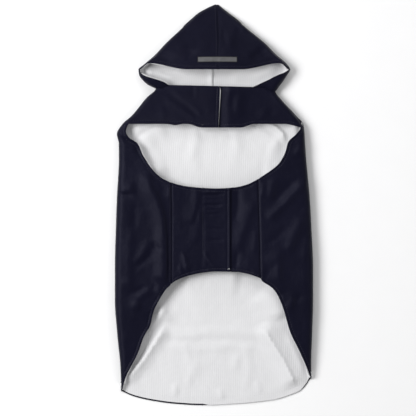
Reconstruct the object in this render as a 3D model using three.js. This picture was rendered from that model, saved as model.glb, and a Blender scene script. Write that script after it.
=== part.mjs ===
// A dog raincoat with a hood, laid flat on its back with the belly side up. Millimetres. +Z is up from the
// surface that it lies on, +Y runs from the hem to the hood, and +X is to the right. The coat is one
// flattened tube. A section across it has a flat back, a round fold at each side, and a front layer that
// closes over the belly and the chest. Each panel is a stretch of that tube, given a wall.
import * as THREE from "three";

// Driving sizes
const hemCornerUp = -236;
const legsUp = 28;
const bandUp = 102.6;
const neckUp = 147;
const brimUp = 171.5;
const peakUp = 254;
const shellWall = 1.2;
const liningWall = 1;
const flapWall = 2;
const layerGap = 0.5;
const seamGap = 0.3;

// Sections of the tube. up is a section's place on the left side and tilt is how much higher its right
// side lies. left and right are its outermost points, fold is the radius of its side folds, crest is the
// height of the front layer at the middle, and hem, brim, dip and neck are its shares of the curves of
// those edges.
const sections = [
  { up: -236, tilt: 17, left: -117.5, right: 123.2, fold: 5, crest: 10, hem: 1, brim: 0, dip: 0, neck: 0 },
  { up: -205, tilt: 10, left: -118.7, right: 123.4, fold: 7, crest: 13, hem: 0.66, brim: 0, dip: 0, neck: 0 },
  { up: -165, tilt: 4, left: -122.6, right: 124.6, fold: 8, crest: 15, hem: 0.32, brim: 0, dip: 0, neck: 0 },
  { up: -120, tilt: 0, left: -125.7, right: 125.7, fold: 8.5, crest: 17, hem: 0.08, brim: 0, dip: 0, neck: 0 },
  { up: -80, tilt: 0, left: -125.7, right: 125.7, fold: 8.5, crest: 18, hem: 0, brim: 0, dip: 0, neck: 0 },
  { up: -30, tilt: 0, left: -124.5, right: 123.6, fold: 8.5, crest: 17.5, hem: 0, brim: 0, dip: 0, neck: 0 },
  { up: 8, tilt: 0, left: -123.2, right: 121.5, fold: 8.5, crest: 17.5, hem: 0, brim: 0, dip: 0, neck: 0 },
  { up: 60, tilt: 0, left: -120.6, right: 116.8, fold: 8, crest: 18, hem: 0, brim: 0, dip: 0, neck: 0 },
  { up: 78, tilt: 0, left: -120.8, right: 115.6, fold: 8, crest: 18, hem: 0, brim: 0, dip: 0, neck: 0 },
  { up: 90, tilt: 0, left: -123.2, right: 114.9, fold: 8, crest: 18, hem: 0, brim: 0, dip: 0.8, neck: 0 },
  { up: 102.6, tilt: 0, left: -117.2, right: 114, fold: 7.5, crest: 18, hem: 0, brim: 0, dip: 1, neck: 0 },
  { up: 113, tilt: 0, left: -105.4, right: 105.4, fold: 7.5, crest: 18, hem: 0, brim: 0, dip: 0.6, neck: 0 },
  { up: 137, tilt: -2.4, left: -84.7, right: 84.6, fold: 7, crest: 18.5, hem: 0, brim: 0, dip: 0.1, neck: 0.45 },
  { up: 147, tilt: -3.6, left: -74.5, right: 78.5, fold: 6.5, crest: 19, hem: 0, brim: 0, dip: 0, neck: 1 },
  { up: 152.5, tilt: -3, left: -84.2, right: 82.2, fold: 7.5, crest: 20, hem: 0, brim: 0, dip: 0, neck: 0.6 },
  { up: 158, tilt: -2, left: -90.2, right: 87.2, fold: 8.5, crest: 22, hem: 0, brim: 0.1, dip: 0, neck: 0.2 },
  { up: 165, tilt: -0.8, left: -95, right: 92.4, fold: 9, crest: 25, hem: 0, brim: 0.4, dip: 0, neck: 0 },
  { up: 171.5, tilt: 0, left: -95.8, right: 96.7, fold: 9, crest: 27, hem: 0, brim: 1, dip: 0, neck: 0 },
  { up: 179, tilt: 0, left: -88.5, right: 93, fold: 8.5, crest: 26, hem: 0, brim: 0.8, dip: 0, neck: 0 },
  { up: 190, tilt: 0, left: -76.2, right: 80.8, fold: 8, crest: 24, hem: 0, brim: 0.4, dip: 0, neck: 0 },
  { up: 205, tilt: 0, left: -62.2, right: 65.4, fold: 7, crest: 20, hem: 0, brim: 0.1, dip: 0, neck: 0 },
  { up: 220, tilt: 0, left: -46.6, right: 48, fold: 6, crest: 15, hem: 0, brim: 0, dip: 0, neck: 0 },
  { up: 235, tilt: 0, left: -32.6, right: 30.8, fold: 5, crest: 10.5, hem: 0, brim: 0, dip: 0, neck: 0 },
  { up: 243, tilt: 0, left: -22, right: 20, fold: 4.2, crest: 8.4, hem: 0, brim: 0, dip: 0, neck: 0 },
  { up: 249, tilt: 0, left: -11, right: 12.4, fold: 3.4, crest: 6.8, hem: 0, brim: 0, dip: 0, neck: 0 },
  { up: 254, tilt: 0, left: -4.4, right: 6, fold: 2.4, crest: 4.8, hem: 0, brim: 0, dip: 0, neck: 0 },
];

// The hem, below a straight line between its corners, at shares of the way across.
const hemLine = [
  { across: 0, drop: 0 },
  { across: 0.06, drop: 7.5 },
  { across: 0.15, drop: 14.4 },
  { across: 0.29, drop: 21.4 },
  { across: 0.44, drop: 25.4 },
  { across: 0.63, drop: 26 },
  { across: 0.79, drop: 24.6 },
  { across: 0.92, drop: 17.1 },
  { across: 0.96, drop: 12.3 },
  { across: 1, drop: 0 },
];

// The free front edges of the body, from the hem up: the rear opening, the belly seam and the leg opening.
const leftFrontEdge = [
  { up: -236, x: -117.5 },
  { up: -218, x: -111.8 },
  { up: -188, x: -96.5 },
  { up: -167, x: -88.9 },
  { up: -152, x: -80.6 },
  { up: -136, x: -76.8 },
  { up: -120, x: -69.2 },
  { up: -105.4, x: -59.7 },
  { up: -100, x: -54.2 },
  { up: -44, x: -53.8 },
  { up: 28.6, x: -54.2 },
  { up: 31.5, x: -62 },
  { up: 38, x: -71 },
  { up: 49.5, x: -82.6 },
  { up: 62, x: -92.7 },
  { up: 80, x: -102.6 },
  { up: 85.5, x: -110.5 },
  { up: 93, x: -112.6 },
  { up: 101, x: -109 },
  { up: 113, x: -94 },
  { up: 147, x: -62 },
];
const rightFrontEdge = [
  { up: -219, x: 123.2 },
  { up: -207, x: 118.1 },
  { up: -182, x: 106.7 },
  { up: -161, x: 96.5 },
  { up: -131, x: 87.6 },
  { up: -115, x: 81 },
  { up: -105, x: 73.7 },
  { up: -94, x: 59.4 },
  { up: -40, x: 58 },
  { up: 33, x: 56.2 },
  { up: 37, x: 62.2 },
  { up: 53, x: 82.6 },
  { up: 67, x: 90.2 },
  { up: 80, x: 94 },
  { up: 90, x: 105.4 },
  { up: 101, x: 108.5 },
  { up: 113, x: 94 },
  { up: 147, x: 67 },
];

const leftSeam = { low: -100, high: 28.6 };
const rightSeam = { low: -94, high: 33 };

// The belly flaps between the two belly seams: their top edge at the leg opening and their lower edge.
const bellyTop = [
  { x: -54.2, up: 28.6 },
  { x: -45.7, up: 26 },
  { x: -30, up: 23.1 },
  { x: 3.8, up: 21 },
  { x: 27, up: 22.5 },
  { x: 42, up: 26 },
  { x: 57, up: 33.2 },
];
const bellyBottom = [
  { x: -54.2, up: -100 },
  { x: -47, up: -95.3 },
  { x: -31.8, up: -89.5 },
  { x: -14, up: -85.7 },
  { x: 2, up: -84.2 },
  { x: 29, up: -85 },
  { x: 42, up: -87.6 },
  { x: 59.4, up: -94 },
];

// The edges of the face opening of the hood, from the neck seam up to the corners of the brim.
const leftFaceEdge = [
  { up: 147, x: -53 },
  { up: 152.4, x: -62.2 },
  { up: 157.5, x: -73 },
  { up: 162.6, x: -90 },
  { up: 167.6, x: -93 },
  { up: 171.5, x: -93.6 },
  { up: 180, x: -77 },
  { up: 205, x: -51 },
  { up: 235, x: -26 },
  { up: 254, x: -1.6 },
];
const rightFaceEdge = [
  { up: 147, x: 61 },
  { up: 153, x: 69 },
  { up: 158.8, x: 78.7 },
  { up: 163.2, x: 87 },
  { up: 168.9, x: 93.6 },
  { up: 171.5, x: 95.4 },
  { up: 180, x: 80 },
  { up: 205, x: 54 },
  { up: 235, x: 25 },
  { up: 254, x: 3.4 },
];

// The middle seams of the hood, in front over the crown and behind over the nape.
const crownSeam = [
  { up: 147, x: 4 },
  { up: 205, x: 5 },
  { up: 240, x: 4 },
  { up: 254, x: 1 },
];
const napeSeam = [
  { up: 147, x: -3.8 },
  { up: 205, x: -3.4 },
  { up: 254, x: 0.8 },
];

// Where the left half of the chest band ends over the right half, and where the right half ends beneath it.
const bandLap = { lowX: 6.2, highX: 8.4, lowLining: 1, highLining: 2.2 };
const bandUnderX = -15;
const bandDipX = 9;
const bandDipHalf = 42;
const bandDipFade = 17;
const bandDip = 4.6;

// The throat edge of the band stands higher in the middle than the neck seam at the sides.
const throatRise = 4.4;
const throatHalf = 66;
const throatFade = 20;

// The left belly flap ends over the right one, which runs on beneath it.
const bellyLapX = 20.6;
const bellyUnderX = -17;
const lapEase = 13;

// The brim rises to its highest just inside its corners and falls again to the middle.
const brimLift = 8;
const brimCorner = 0.16;
const brimFall = 1.2;

// Lining edges stay this far inside the shell's, but at most this share of the way to the next points.
const liningInset = 1;
const mostDrawn = 0.6;

const reflector = { left: -20, right: 28.6, low: 181.6, high: 187.4, wall: 0.8 };

// The largest soft folds, from one end to the other, as the height and half width of a ridge. A trough is
// negative.
const frontFolds = [
  { x0: -85, up0: 33, x1: -72, up1: -14, height: 2.2, half: 8 },
  { x0: -71, up0: -18, x1: -68, up1: -92, height: 2.6, half: 8 },
  { x0: -107, up0: -131, x1: -78, up1: -119, height: 2, half: 6 },
  { x0: 112, up0: 25, x1: 72, up1: -8, height: 2.2, half: 7 },
  { x0: 112, up0: -15, x1: 91, up1: -45, height: 2, half: 7 },
  { x0: 76, up0: 34, x1: 68, up1: 6, height: 1.6, half: 5 },
  { x0: 72, up0: -61, x1: 83, up1: -97, height: 2, half: 6 },
  { x0: 50, up0: 4, x1: 28, up1: -44, height: 1.4, half: 6 },
  { x0: -24, up0: 14, x1: -31, up1: -12, height: 1.6, half: 6 },
  { x0: -40, up0: -62, x1: -33, up1: -84, height: 1.4, half: 4 },
  { x0: -60, up0: 142, x1: -30, up1: 125, height: -2, half: 6 },
  { x0: -28, up0: 124, x1: -17, up1: 108, height: -1.8, half: 5 },
  { x0: -112, up0: 81, x1: -99, up1: 68, height: -1.6, half: 4 },
  { x0: -58, up0: 189, x1: -32, up1: 199, height: 1.6, half: 7 },
  { x0: 58, up0: 191, x1: 36, up1: 202, height: 1.6, half: 7 },
];
const liningFolds = [
  { x0: -60, up0: -160, x1: -106, up1: -216, height: 3, half: 5 },
  { x0: 60, up0: -154, x1: 108, up1: -230, height: 3.4, half: 5 },
  { x0: -50, up0: -166, x1: 46, up1: -172, height: 1.4, half: 9 },
  { x0: -74, up0: 105, x1: -106, up1: 92, height: 4, half: 6 },
  { x0: 84, up0: 103, x1: 100, up1: 88, height: 3.5, half: 5 },
];

// Rows of the body's panels, from each place up to the next, and those of the hood's.
const bodyRows = [
  { from: hemCornerUp, to: -120, steps: 9 },
  { from: -120, to: legsUp, steps: 8 },
  { from: legsUp, to: 78, steps: 4 },
  { from: 78, to: bandUp, steps: 4 },
  { from: bandUp, to: neckUp, steps: 5 },
];
const hoodRows = [
  { from: neckUp, to: brimUp, steps: 5 },
  { from: brimUp, to: 205, steps: 6 },
  { from: 205, to: peakUp, steps: 6 },
];
const bandRow = bodyRows.slice(0, -1).reduce((sum, row) => sum + row.steps, 0);
const brimRow = hoodRows[0].steps;
const liningTopRow = brimRow + hoodRows[1].steps;

// Columns of a panel in the front layer, round a side fold, across the back and over the chest or crown.
// Where an opening's edge lies on the fold itself, the fold's columns take this share of it.
const columns = { front: 4, fold: 6, back: 10, chest: 9, ease: 3, crown: 7, nape: 5 };
const foldShare = 0.6;

const navyCloth = new THREE.MeshStandardMaterial({ color: 0x15151f, roughness: 0.45, metalness: 0 });
const whiteMesh = new THREE.MeshStandardMaterial({ color: 0xe2e2e4, roughness: 0.9, metalness: 0 });
const greyTape = new THREE.MeshStandardMaterial({ color: 0x7f8080, roughness: 0.5, metalness: 0.2 });

// Reads one column of a table against another, on a smooth curve that never passes beyond its rows.
function curveThrough(rows, along, value) {
  const last = rows.length - 1;
  const slopes = [];
  for (let i = 0; i < last; i++) {
    slopes.push((rows[i + 1][value] - rows[i][value]) / (rows[i + 1][along] - rows[i][along]));
  }
  const tangents = rows.map((_, i) => {
    const before = slopes[Math.max(i - 1, 0)];
    const after = slopes[Math.min(i, last - 1)];
    return before * after <= 0 ? 0 : (2 * before * after) / (before + after);
  });
  return (place) => {
    const at = THREE.MathUtils.clamp(place, rows[0][along], rows[last][along]);
    let i = 0;
    while (i < last - 1 && at > rows[i + 1][along]) {
      i++;
    }
    const span = rows[i + 1][along] - rows[i][along];
    const t = (at - rows[i][along]) / span;
    const rise = rows[i + 1][value] - rows[i][value];
    const ease = t * t * (3 - 2 * t);
    const start = tangents[i] * span * t * (1 - t) * (1 - t);
    const end = tangents[i + 1] * span * t * t * (t - 1);
    return rows[i][value] + rise * ease + start + end;
  };
}

const sectionColumns = ["tilt", "left", "right", "fold", "crest", "hem", "brim", "dip", "neck"];
const readSection = sectionColumns.map((name) => [name, curveThrough(sections, "up", name)]);
const hemDrop = curveThrough(hemLine, "across", "drop");
const frontEdge = {
  left: curveThrough(leftFrontEdge, "up", "x"),
  right: curveThrough(rightFrontEdge, "up", "x"),
};
const faceEdge = {
  left: curveThrough(leftFaceEdge, "up", "x"),
  right: curveThrough(rightFaceEdge, "up", "x"),
};
const crownSeamX = curveThrough(crownSeam, "up", "x");
const napeSeamX = curveThrough(napeSeam, "up", "x");

const ease = (t) => THREE.MathUtils.smoothstep(t, 0, 1);

// The section of the tube at one place, with its middle and the half width of its flat back.
function sectionAt(up) {
  const section = { up };
  for (const [name, read] of readSection) {
    section[name] = read(up);
  }
  section.middle = (section.left + section.right) / 2;
  section.half = (section.right - section.left) / 2;
  section.flat = section.half - section.fold;
  return section;
}

// A soft fold's height at a place: a rounded ridge that fades at both ends.
function foldHeight(folds, x, up) {
  let sum = 0;
  for (const fold of folds) {
    const run = new THREE.Vector2(fold.x1 - fold.x0, fold.up1 - fold.up0);
    const to = new THREE.Vector2(x - fold.x0, up - fold.up0);
    const along = to.dot(run) / run.lengthSq();
    const off = to.cross(run) / run.length();
    const ends = ease((along + 0.15) / 0.4) * ease((1.15 - along) / 0.4);
    sum += fold.height * ends * Math.exp(-((off / fold.half) ** 2));
  }
  return sum;
}

// How far the right half dips to pass beneath the left half where the two lap.
function lapDip(x, lapX, depth) {
  return depth * (1 - ease((x - lapX) / lapEase));
}

// The height of the front layer's outer face over a place on a section.
function frontHeight(section, x) {
  const out = Math.min(Math.abs(x - section.middle) / section.flat, 1);
  return section.crest + (2 * section.fold - section.crest) * ease(out);
}

// How far up the coat a place of a section lies, in the front layer or in the back one.
function placeUp(section, x, inFront) {
  const across = THREE.MathUtils.clamp((x - section.left) / (2 * section.half), 0, 1);
  const straight = section.up + section.tilt * across;
  if (!inFront) {
    return straight - section.hem * hemDrop(across);
  }
  const fromCorner = 1 - Math.abs(2 * across - 1);
  const lift = brimLift * ease(fromCorner / brimCorner) * (1 - fromCorner) ** brimFall;
  const dip = bandDip * ease((bandDipHalf - Math.abs(x - bandDipX)) / bandDipFade);
  const throat = throatRise * ease((throatHalf - Math.abs(x - section.middle)) / throatFade);
  return straight + section.brim * lift + section.neck * throat - section.dip * dip;
}

// A place round a section is counted from the middle of its back, positive to the right. It is 1 where the
// flat back ends, 2 where the side fold ends, and 3 at the middle of the front layer. This finds it from
// an x in front.
function frontPlace(section, x, side) {
  const out = (x - section.middle) * side;
  if (out <= section.flat) {
    return side * (3 - out / section.flat);
  }
  const turn = Math.PI - Math.asin(Math.min((out - section.flat) / section.fold, 1));
  return side * (1 + turn / Math.PI);
}

// The point of the tube's outer face at a place round a section. A half that laps under another dips
// beneath it.
function tubePoint(section, place, under) {
  const side = Math.sign(place) || 1;
  const round = Math.abs(place);
  if (round <= 1) {
    const x = section.middle + place * section.flat;
    return new THREE.Vector3(x, placeUp(section, x, false), 0);
  }
  if (round <= 2) {
    const turn = (round - 1) * Math.PI;
    const x = section.middle + side * (section.flat + section.fold * Math.sin(turn));
    const up = placeUp(section, x, round > 1.5);
    const folds = foldHeight(frontFolds, x, up) * ease(2 * round - 3);
    return new THREE.Vector3(x, up, section.fold * (1 - Math.cos(turn)) + folds);
  }
  const x = section.middle + side * (3 - round) * section.flat;
  const up = placeUp(section, x, true);
  const dip = under ? lapDip(x, under.lapX, under.depth) : 0;
  return new THREE.Vector3(x, up, frontHeight(section, x) + foldHeight(frontFolds, x, up) - dip);
}

// A row of the tube: its points at the given places, and the outward direction at each of them.
function tubeRow(up, places, underAt = () => undefined) {
  const nearby = [up - 0.5, up, up + 0.5].map(sectionAt);
  const points = places.map((place, j) => tubePoint(nearby[1], place, underAt(j)));
  const normals = places.map((place, j) => {
    const [below, here, above] = nearby;
    const before = tubePoint(here, place - 0.01, underAt(j));
    const after = tubePoint(here, place + 0.01, underAt(j));
    const lower = tubePoint(below, place, underAt(j));
    const upper = tubePoint(above, place, underAt(j));
    return upper.sub(lower).cross(after.sub(before)).normalize();
  });
  return { points, normals };
}

// The place round to an edge that is given by where it lies on the coat, which the row's slant and curve
// move.
function edgePlace(section, edge, side) {
  let x = edge(section.up);
  for (let i = 0; i < 6; i++) {
    x = edge(placeUp(section, x, true));
  }
  return frontPlace(section, x, side);
}

// Even stops from one value towards the next, without the last.
function stops(from, to, count) {
  return Array.from({ length: count }, (_, i) => from + ((to - from) * i) / count);
}

// Stops round one side: from its front edge over the fold to where the flat back begins.
function sideStops(edge) {
  const reach = Math.abs(edge);
  const foldTop = Math.min(2, 1 + foldShare * (reach - 1));
  const front = stops(reach, foldTop, columns.front);
  const round = stops(foldTop, 1, columns.fold);
  return [...front, ...round].map((value) => Math.sign(edge) * value);
}

function rowPlaces(rows, last) {
  const places = rows.flatMap((row) => stops(row.from, row.to, row.steps));
  return [...places, last];
}

// A grid's points moved in from the cloth's face, and further where a fold of the lining stands off the
// back.
function movedIn(grid, distance, folds = []) {
  return grid.points.map((row, i) =>
    row.map((point, j) => {
      const normal = grid.normals[i][j];
      const standing = foldHeight(folds, point.x, point.y) * ease((-normal.z - 0.7) / 0.3);
      return point.clone().addScaledVector(normal, -distance - standing);
    }),
  );
}

// A grid whose border points are drawn in along the cloth, by a distance for its rows and one for its
// columns.
function drawnIn(grid, keep, rowInset, columnInset) {
  const rows = grid.points.length;
  const wide = grid.points[0].length;
  const kept = (i, j) => i >= 0 && j >= 0 && i < rows - 1 && j < wide - 1 && keep(i, j);
  const cells = [[-1, -1], [-1, 0], [0, -1], [0, 0]];
  const points = grid.points.map((row) => row.map((point) => point.clone()));
  const normals = grid.normals.map((row) => row.map((normal) => normal.clone()));
  const pull = (i, j, nextI, nextJ, inset) => {
    const way = new THREE.Vector3().subVectors(grid.points[nextI][nextJ], grid.points[i][j]);
    const share = Math.min(inset / way.length(), mostDrawn);
    points[i][j].addScaledVector(way, share);
    normals[i][j].lerp(grid.normals[nextI][nextJ], share).normalize();
  };
  for (let i = 0; i < rows; i++) {
    for (let j = 0; j < wide; j++) {
      const open = cells.filter(([di, dj]) => !kept(i + di, j + dj));
      const toRow = Math.sign(open.reduce((sum, [di]) => sum - 2 * di - 1, 0));
      const toColumn = Math.sign(open.reduce((sum, [, dj]) => sum - 2 * dj - 1, 0));
      const isBorder = open.length < cells.length;
      if (isBorder && toRow !== 0) {
        pull(i, j, i + toRow, j, rowInset(i));
      }
      if (isBorder && toColumn !== 0) {
        pull(i, j, i, j + toColumn, columnInset(i, j));
      }
    }
  }
  return { points, normals };
}

// A closed wall between an outer and an inner grid, over the cells that are kept.
function clothWall(name, outer, inner, material, keep = () => true) {
  const wide = outer[0].length;
  const count = outer.length * wide;
  const positions = [...outer.flat(), ...inner.flat()].flatMap((point) => [point.x, point.y, point.z]);
  const indices = [];
  const at = (i, j) => i * wide + j;
  const kept = (i, j) => i >= 0 && j >= 0 && i < outer.length - 1 && j < wide - 1 && keep(i, j);
  const closeEdge = (a, b) => indices.push(a, b, b + count, a, b + count, a + count);
  for (let i = 0; i < outer.length - 1; i++) {
    for (let j = 0; j < wide - 1; j++) {
      if (!kept(i, j)) {
        continue;
      }
      const [a, b, c, d] = [at(i, j), at(i, j + 1), at(i + 1, j + 1), at(i + 1, j)];
      const halves = outer[i][j].x < 0 ? [a, d, c, a, c, b] : [a, d, b, b, d, c];
      indices.push(...halves, ...halves.map((corner) => corner + count).reverse());
      if (!kept(i - 1, j)) {
        closeEdge(a, b);
      }
      if (!kept(i, j + 1)) {
        closeEdge(b, c);
      }
      if (!kept(i + 1, j)) {
        closeEdge(c, d);
      }
      if (!kept(i, j - 1)) {
        closeEdge(d, a);
      }
    }
  }
  const used = new Map();
  const packed = [];
  const index = indices.map((old) => {
    if (!used.has(old)) {
      used.set(old, used.size);
      packed.push(...positions.slice(3 * old, 3 * old + 3));
    }
    return used.get(old);
  });
  const geometry = new THREE.BufferGeometry();
  geometry.setAttribute("position", new THREE.Float32BufferAttribute(packed, 3));
  geometry.setIndex(index);
  geometry.computeVertexNormals();
  const mesh = new THREE.Mesh(geometry, material);
  mesh.name = name;
  return mesh;
}

// The body: back, sides and both halves of the chest band, which are cut in one piece.
const bodyPlaces = rowPlaces(bodyRows, neckUp - seamGap / 2);
const bandShare = (up) => THREE.MathUtils.clamp(THREE.MathUtils.inverseLerp(bandUp, neckUp, up), 0, 1);
const bandLapX = (up) => THREE.MathUtils.lerp(bandLap.lowX, bandLap.highX, bandShare(up));
const bandLiningShows = (up) => THREE.MathUtils.lerp(bandLap.lowLining, bandLap.highLining, bandShare(up));

function makeBodyGrid() {
  const underDepth = 2 * layerGap + shellWall + liningWall;
  const rows = bodyPlaces.map((up) => {
    const section = sectionAt(up);
    const leftEdge = edgePlace(section, frontEdge.left, -1);
    const rightEdge = edgePlace(section, frontEdge.right, 1);
    const lapX = bandLapX(up) + bandLiningShows(up);
    const rightClear = frontPlace(section, lapX + lapEase, 1);
    const left = [
      ...stops(frontPlace(section, bandLapX(up), -1), leftEdge, columns.chest),
      ...sideStops(leftEdge),
      ...stops(-1, 1, columns.back),
    ];
    const right = [
      frontPlace(section, bandUnderX, 1),
      ...stops(frontPlace(section, lapX, 1), rightClear, columns.ease),
      ...stops(rightClear, rightEdge, columns.chest - columns.ease),
      ...sideStops(rightEdge),
      1,
    ].reverse();
    const under = { lapX, depth: underDepth };
    return tubeRow(up, [...left, ...right], (j) => (j < left.length ? undefined : under));
  });
  return { points: rows.map((row) => row.points), normals: rows.map((row) => row.normals) };
}

// The chest band is only kept above the leg opening. The rest of the front is open between the body's
// edges.
const bodyWide = 2 * (columns.chest + columns.front + columns.fold) + columns.back + 1;
const isBody = (i, j) => i >= bandRow || (j >= columns.chest && j < bodyWide - columns.chest - 1);

function makeBody(grid) {
  return clothWall("body_shell", grid.points, movedIn(grid, shellWall), navyCloth, isBody);
}

// The lining follows the shell's points. At the neck seam it runs to the edge, and at the lap it shows
// beyond it.
function makeBodyLining(grid) {
  const rowInset = (i) => (i === bodyPlaces.length - 1 ? 0 : liningInset);
  const columnInset = (i, j) => (j === 0 ? -bandLiningShows(bodyPlaces[i]) : liningInset);
  const face = drawnIn(grid, isBody, rowInset, columnInset);
  const outer = movedIn(face, shellWall + layerGap, liningFolds);
  const inner = movedIn(face, shellWall + layerGap + liningWall, liningFolds);
  return clothWall("body_lining", outer, inner, whiteMesh, isBody);
}

// A belly flap between its seam and its free end, with its top and lower edges on the two openings.
function makeBellyFlap(name, fromX, toX, under) {
  const top = curveThrough(bellyTop, "x", "up");
  const bottom = curveThrough(bellyBottom, "x", "up");
  const rows = 10;
  const wide = 9;
  const outer = Array.from({ length: rows + 1 }, (_, i) =>
    Array.from({ length: wide + 1 }, (_, j) => {
      const toRight = THREE.MathUtils.lerp(fromX(0), toX(0), j / wide);
      const up = THREE.MathUtils.lerp(bottom(toRight), top(toRight), i / rows);
      const x = THREE.MathUtils.lerp(fromX(up), toX(up), j / wide);
      const dip = under ? lapDip(x, bellyLapX, under) : 0;
      const height = frontHeight(sectionAt(up), x) + foldHeight(frontFolds, x, up) - dip;
      return new THREE.Vector3(x, up, height);
    }),
  );
  const inner = outer.map((row) => row.map((point) => point.clone().setZ(point.z - flapWall)));
  return clothWall(name, inner, outer, navyCloth);
}

// Half of the hood: crown in front, round the side fold and across the nape behind, with the face left
// open.
function makeHoodGrid(side) {
  const places = rowPlaces(hoodRows, peakUp);
  places[0] += seamGap / 2;
  const rows = places.map((up) => {
    const section = sectionAt(up);
    const frontSeam = frontPlace(section, crownSeamX(up) + (side * seamGap) / 2, side);
    const backSeam = (napeSeamX(up) + (side * seamGap) / 2 - section.middle) / section.flat;
    const edge = edgePlace(section, faceEdge[side < 0 ? "left" : "right"], side);
    const crown = stops(frontSeam, edge, columns.crown);
    const nape = [...stops(side, backSeam, columns.nape), backSeam];
    const round = [...crown, ...sideStops(edge), ...nape];
    return tubeRow(up, side < 0 ? round : round.reverse());
  });
  return { points: rows.map((row) => row.points), normals: rows.map((row) => row.normals) };
}

const hoodWide = columns.crown + columns.front + columns.fold + columns.nape;
const isCrown = (side, j) => (side < 0 ? j < columns.crown : j >= hoodWide - columns.crown);

function makeHoodHalf(name, side, grid) {
  const isHood = (i, j) => i >= brimRow || !isCrown(side, j);
  return clothWall(name, grid.points, movedIn(grid, shellWall), navyCloth, isHood);
}

// The hood's lining is seen through the face opening. It goes round the side folds up to the brim, and
// runs on a little way under the crown at the nape alone.
function makeHoodLining(name, side, grid) {
  const isNape = (j) => (side < 0 ? j >= hoodWide - columns.nape : j < columns.nape);
  const isLined = (i, j) => i < liningTopRow && (i < brimRow ? !isCrown(side, j) : isNape(j));
  const napeColumn = side < 0 ? hoodWide : 0;
  const rowInset = (i) => (i === 0 ? 0 : liningInset);
  const columnInset = (i, j) => (j === napeColumn ? 0 : liningInset);
  const face = drawnIn(grid, isLined, rowInset, columnInset);
  const outer = movedIn(face, shellWall + layerGap);
  const inner = movedIn(face, shellWall + layerGap + liningWall);
  return clothWall(name, outer, inner, whiteMesh, isLined);
}

// The reflective tape lies on the crown, over its seam.
function makeReflector() {
  const steps = 8;
  const lines = [reflector.low, reflector.high];
  const onCrown = (x, up, above) => {
    let section = sectionAt(up);
    for (let i = 0; i < 6; i++) {
      section = sectionAt(section.up + up - placeUp(section, x, true));
    }
    return new THREE.Vector3(x, up, frontHeight(section, x) + foldHeight(frontFolds, x, up) + above);
  };
  const face = (above) =>
    lines.map((up) =>
      Array.from({ length: steps + 1 }, (_, i) => {
        const x = THREE.MathUtils.lerp(reflector.left, reflector.right, i / steps);
        return onCrown(x, up, above);
      }),
    );
  return clothWall("hood_reflector", face(layerGap), face(layerGap + reflector.wall), greyTape);
}

const coat = new THREE.Group();
const within = (up, seam) => THREE.MathUtils.clamp(up, seam.low, seam.high);
const leftSeamX = (up) => frontEdge.left(within(up, leftSeam)) + seamGap;
const rightSeamX = (up) => frontEdge.right(within(up, rightSeam)) - seamGap;
const bodyGrid = makeBodyGrid();
const hoodLeft = makeHoodGrid(-1);
const hoodRight = makeHoodGrid(1);
coat.add(makeBody(bodyGrid));
coat.add(makeBodyLining(bodyGrid));
coat.add(makeBellyFlap("belly_flap_left", leftSeamX, () => bellyLapX));
coat.add(makeBellyFlap("belly_flap_right", () => bellyUnderX, rightSeamX, flapWall + layerGap));
coat.add(makeHoodHalf("hood_left", -1, hoodLeft));
coat.add(makeHoodHalf("hood_right", 1, hoodRight));
coat.add(makeHoodLining("hood_lining_left", -1, hoodLeft));
coat.add(makeHoodLining("hood_lining_right", 1, hoodRight));
coat.add(makeReflector());

export default coat;
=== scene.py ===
from math import asin, atan2, ceil, cos, exp, hypot, pi, radians, sin

import bmesh
import bpy
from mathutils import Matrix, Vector, noise
from mathutils.bvhtree import BVHTree


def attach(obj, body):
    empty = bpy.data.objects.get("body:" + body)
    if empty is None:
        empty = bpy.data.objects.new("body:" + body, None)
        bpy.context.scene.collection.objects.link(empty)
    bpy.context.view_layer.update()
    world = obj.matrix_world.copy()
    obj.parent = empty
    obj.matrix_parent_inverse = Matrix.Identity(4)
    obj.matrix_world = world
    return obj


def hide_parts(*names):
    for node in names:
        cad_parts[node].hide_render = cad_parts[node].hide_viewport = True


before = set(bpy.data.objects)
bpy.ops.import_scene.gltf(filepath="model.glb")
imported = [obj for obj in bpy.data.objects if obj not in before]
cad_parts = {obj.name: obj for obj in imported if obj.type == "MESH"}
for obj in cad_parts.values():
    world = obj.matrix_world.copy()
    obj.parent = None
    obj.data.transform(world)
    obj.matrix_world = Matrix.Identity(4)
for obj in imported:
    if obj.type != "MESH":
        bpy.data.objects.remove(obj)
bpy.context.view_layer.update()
mm = 0.001  # the tables are in millimetres, up from the hem to the hood


# How the laid coat is formed. It is one flattened tube with a flat back, round side folds and a front layer.

def table(names, rows):
    return [dict(zip(names.split(), row)) for row in rows]


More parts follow.
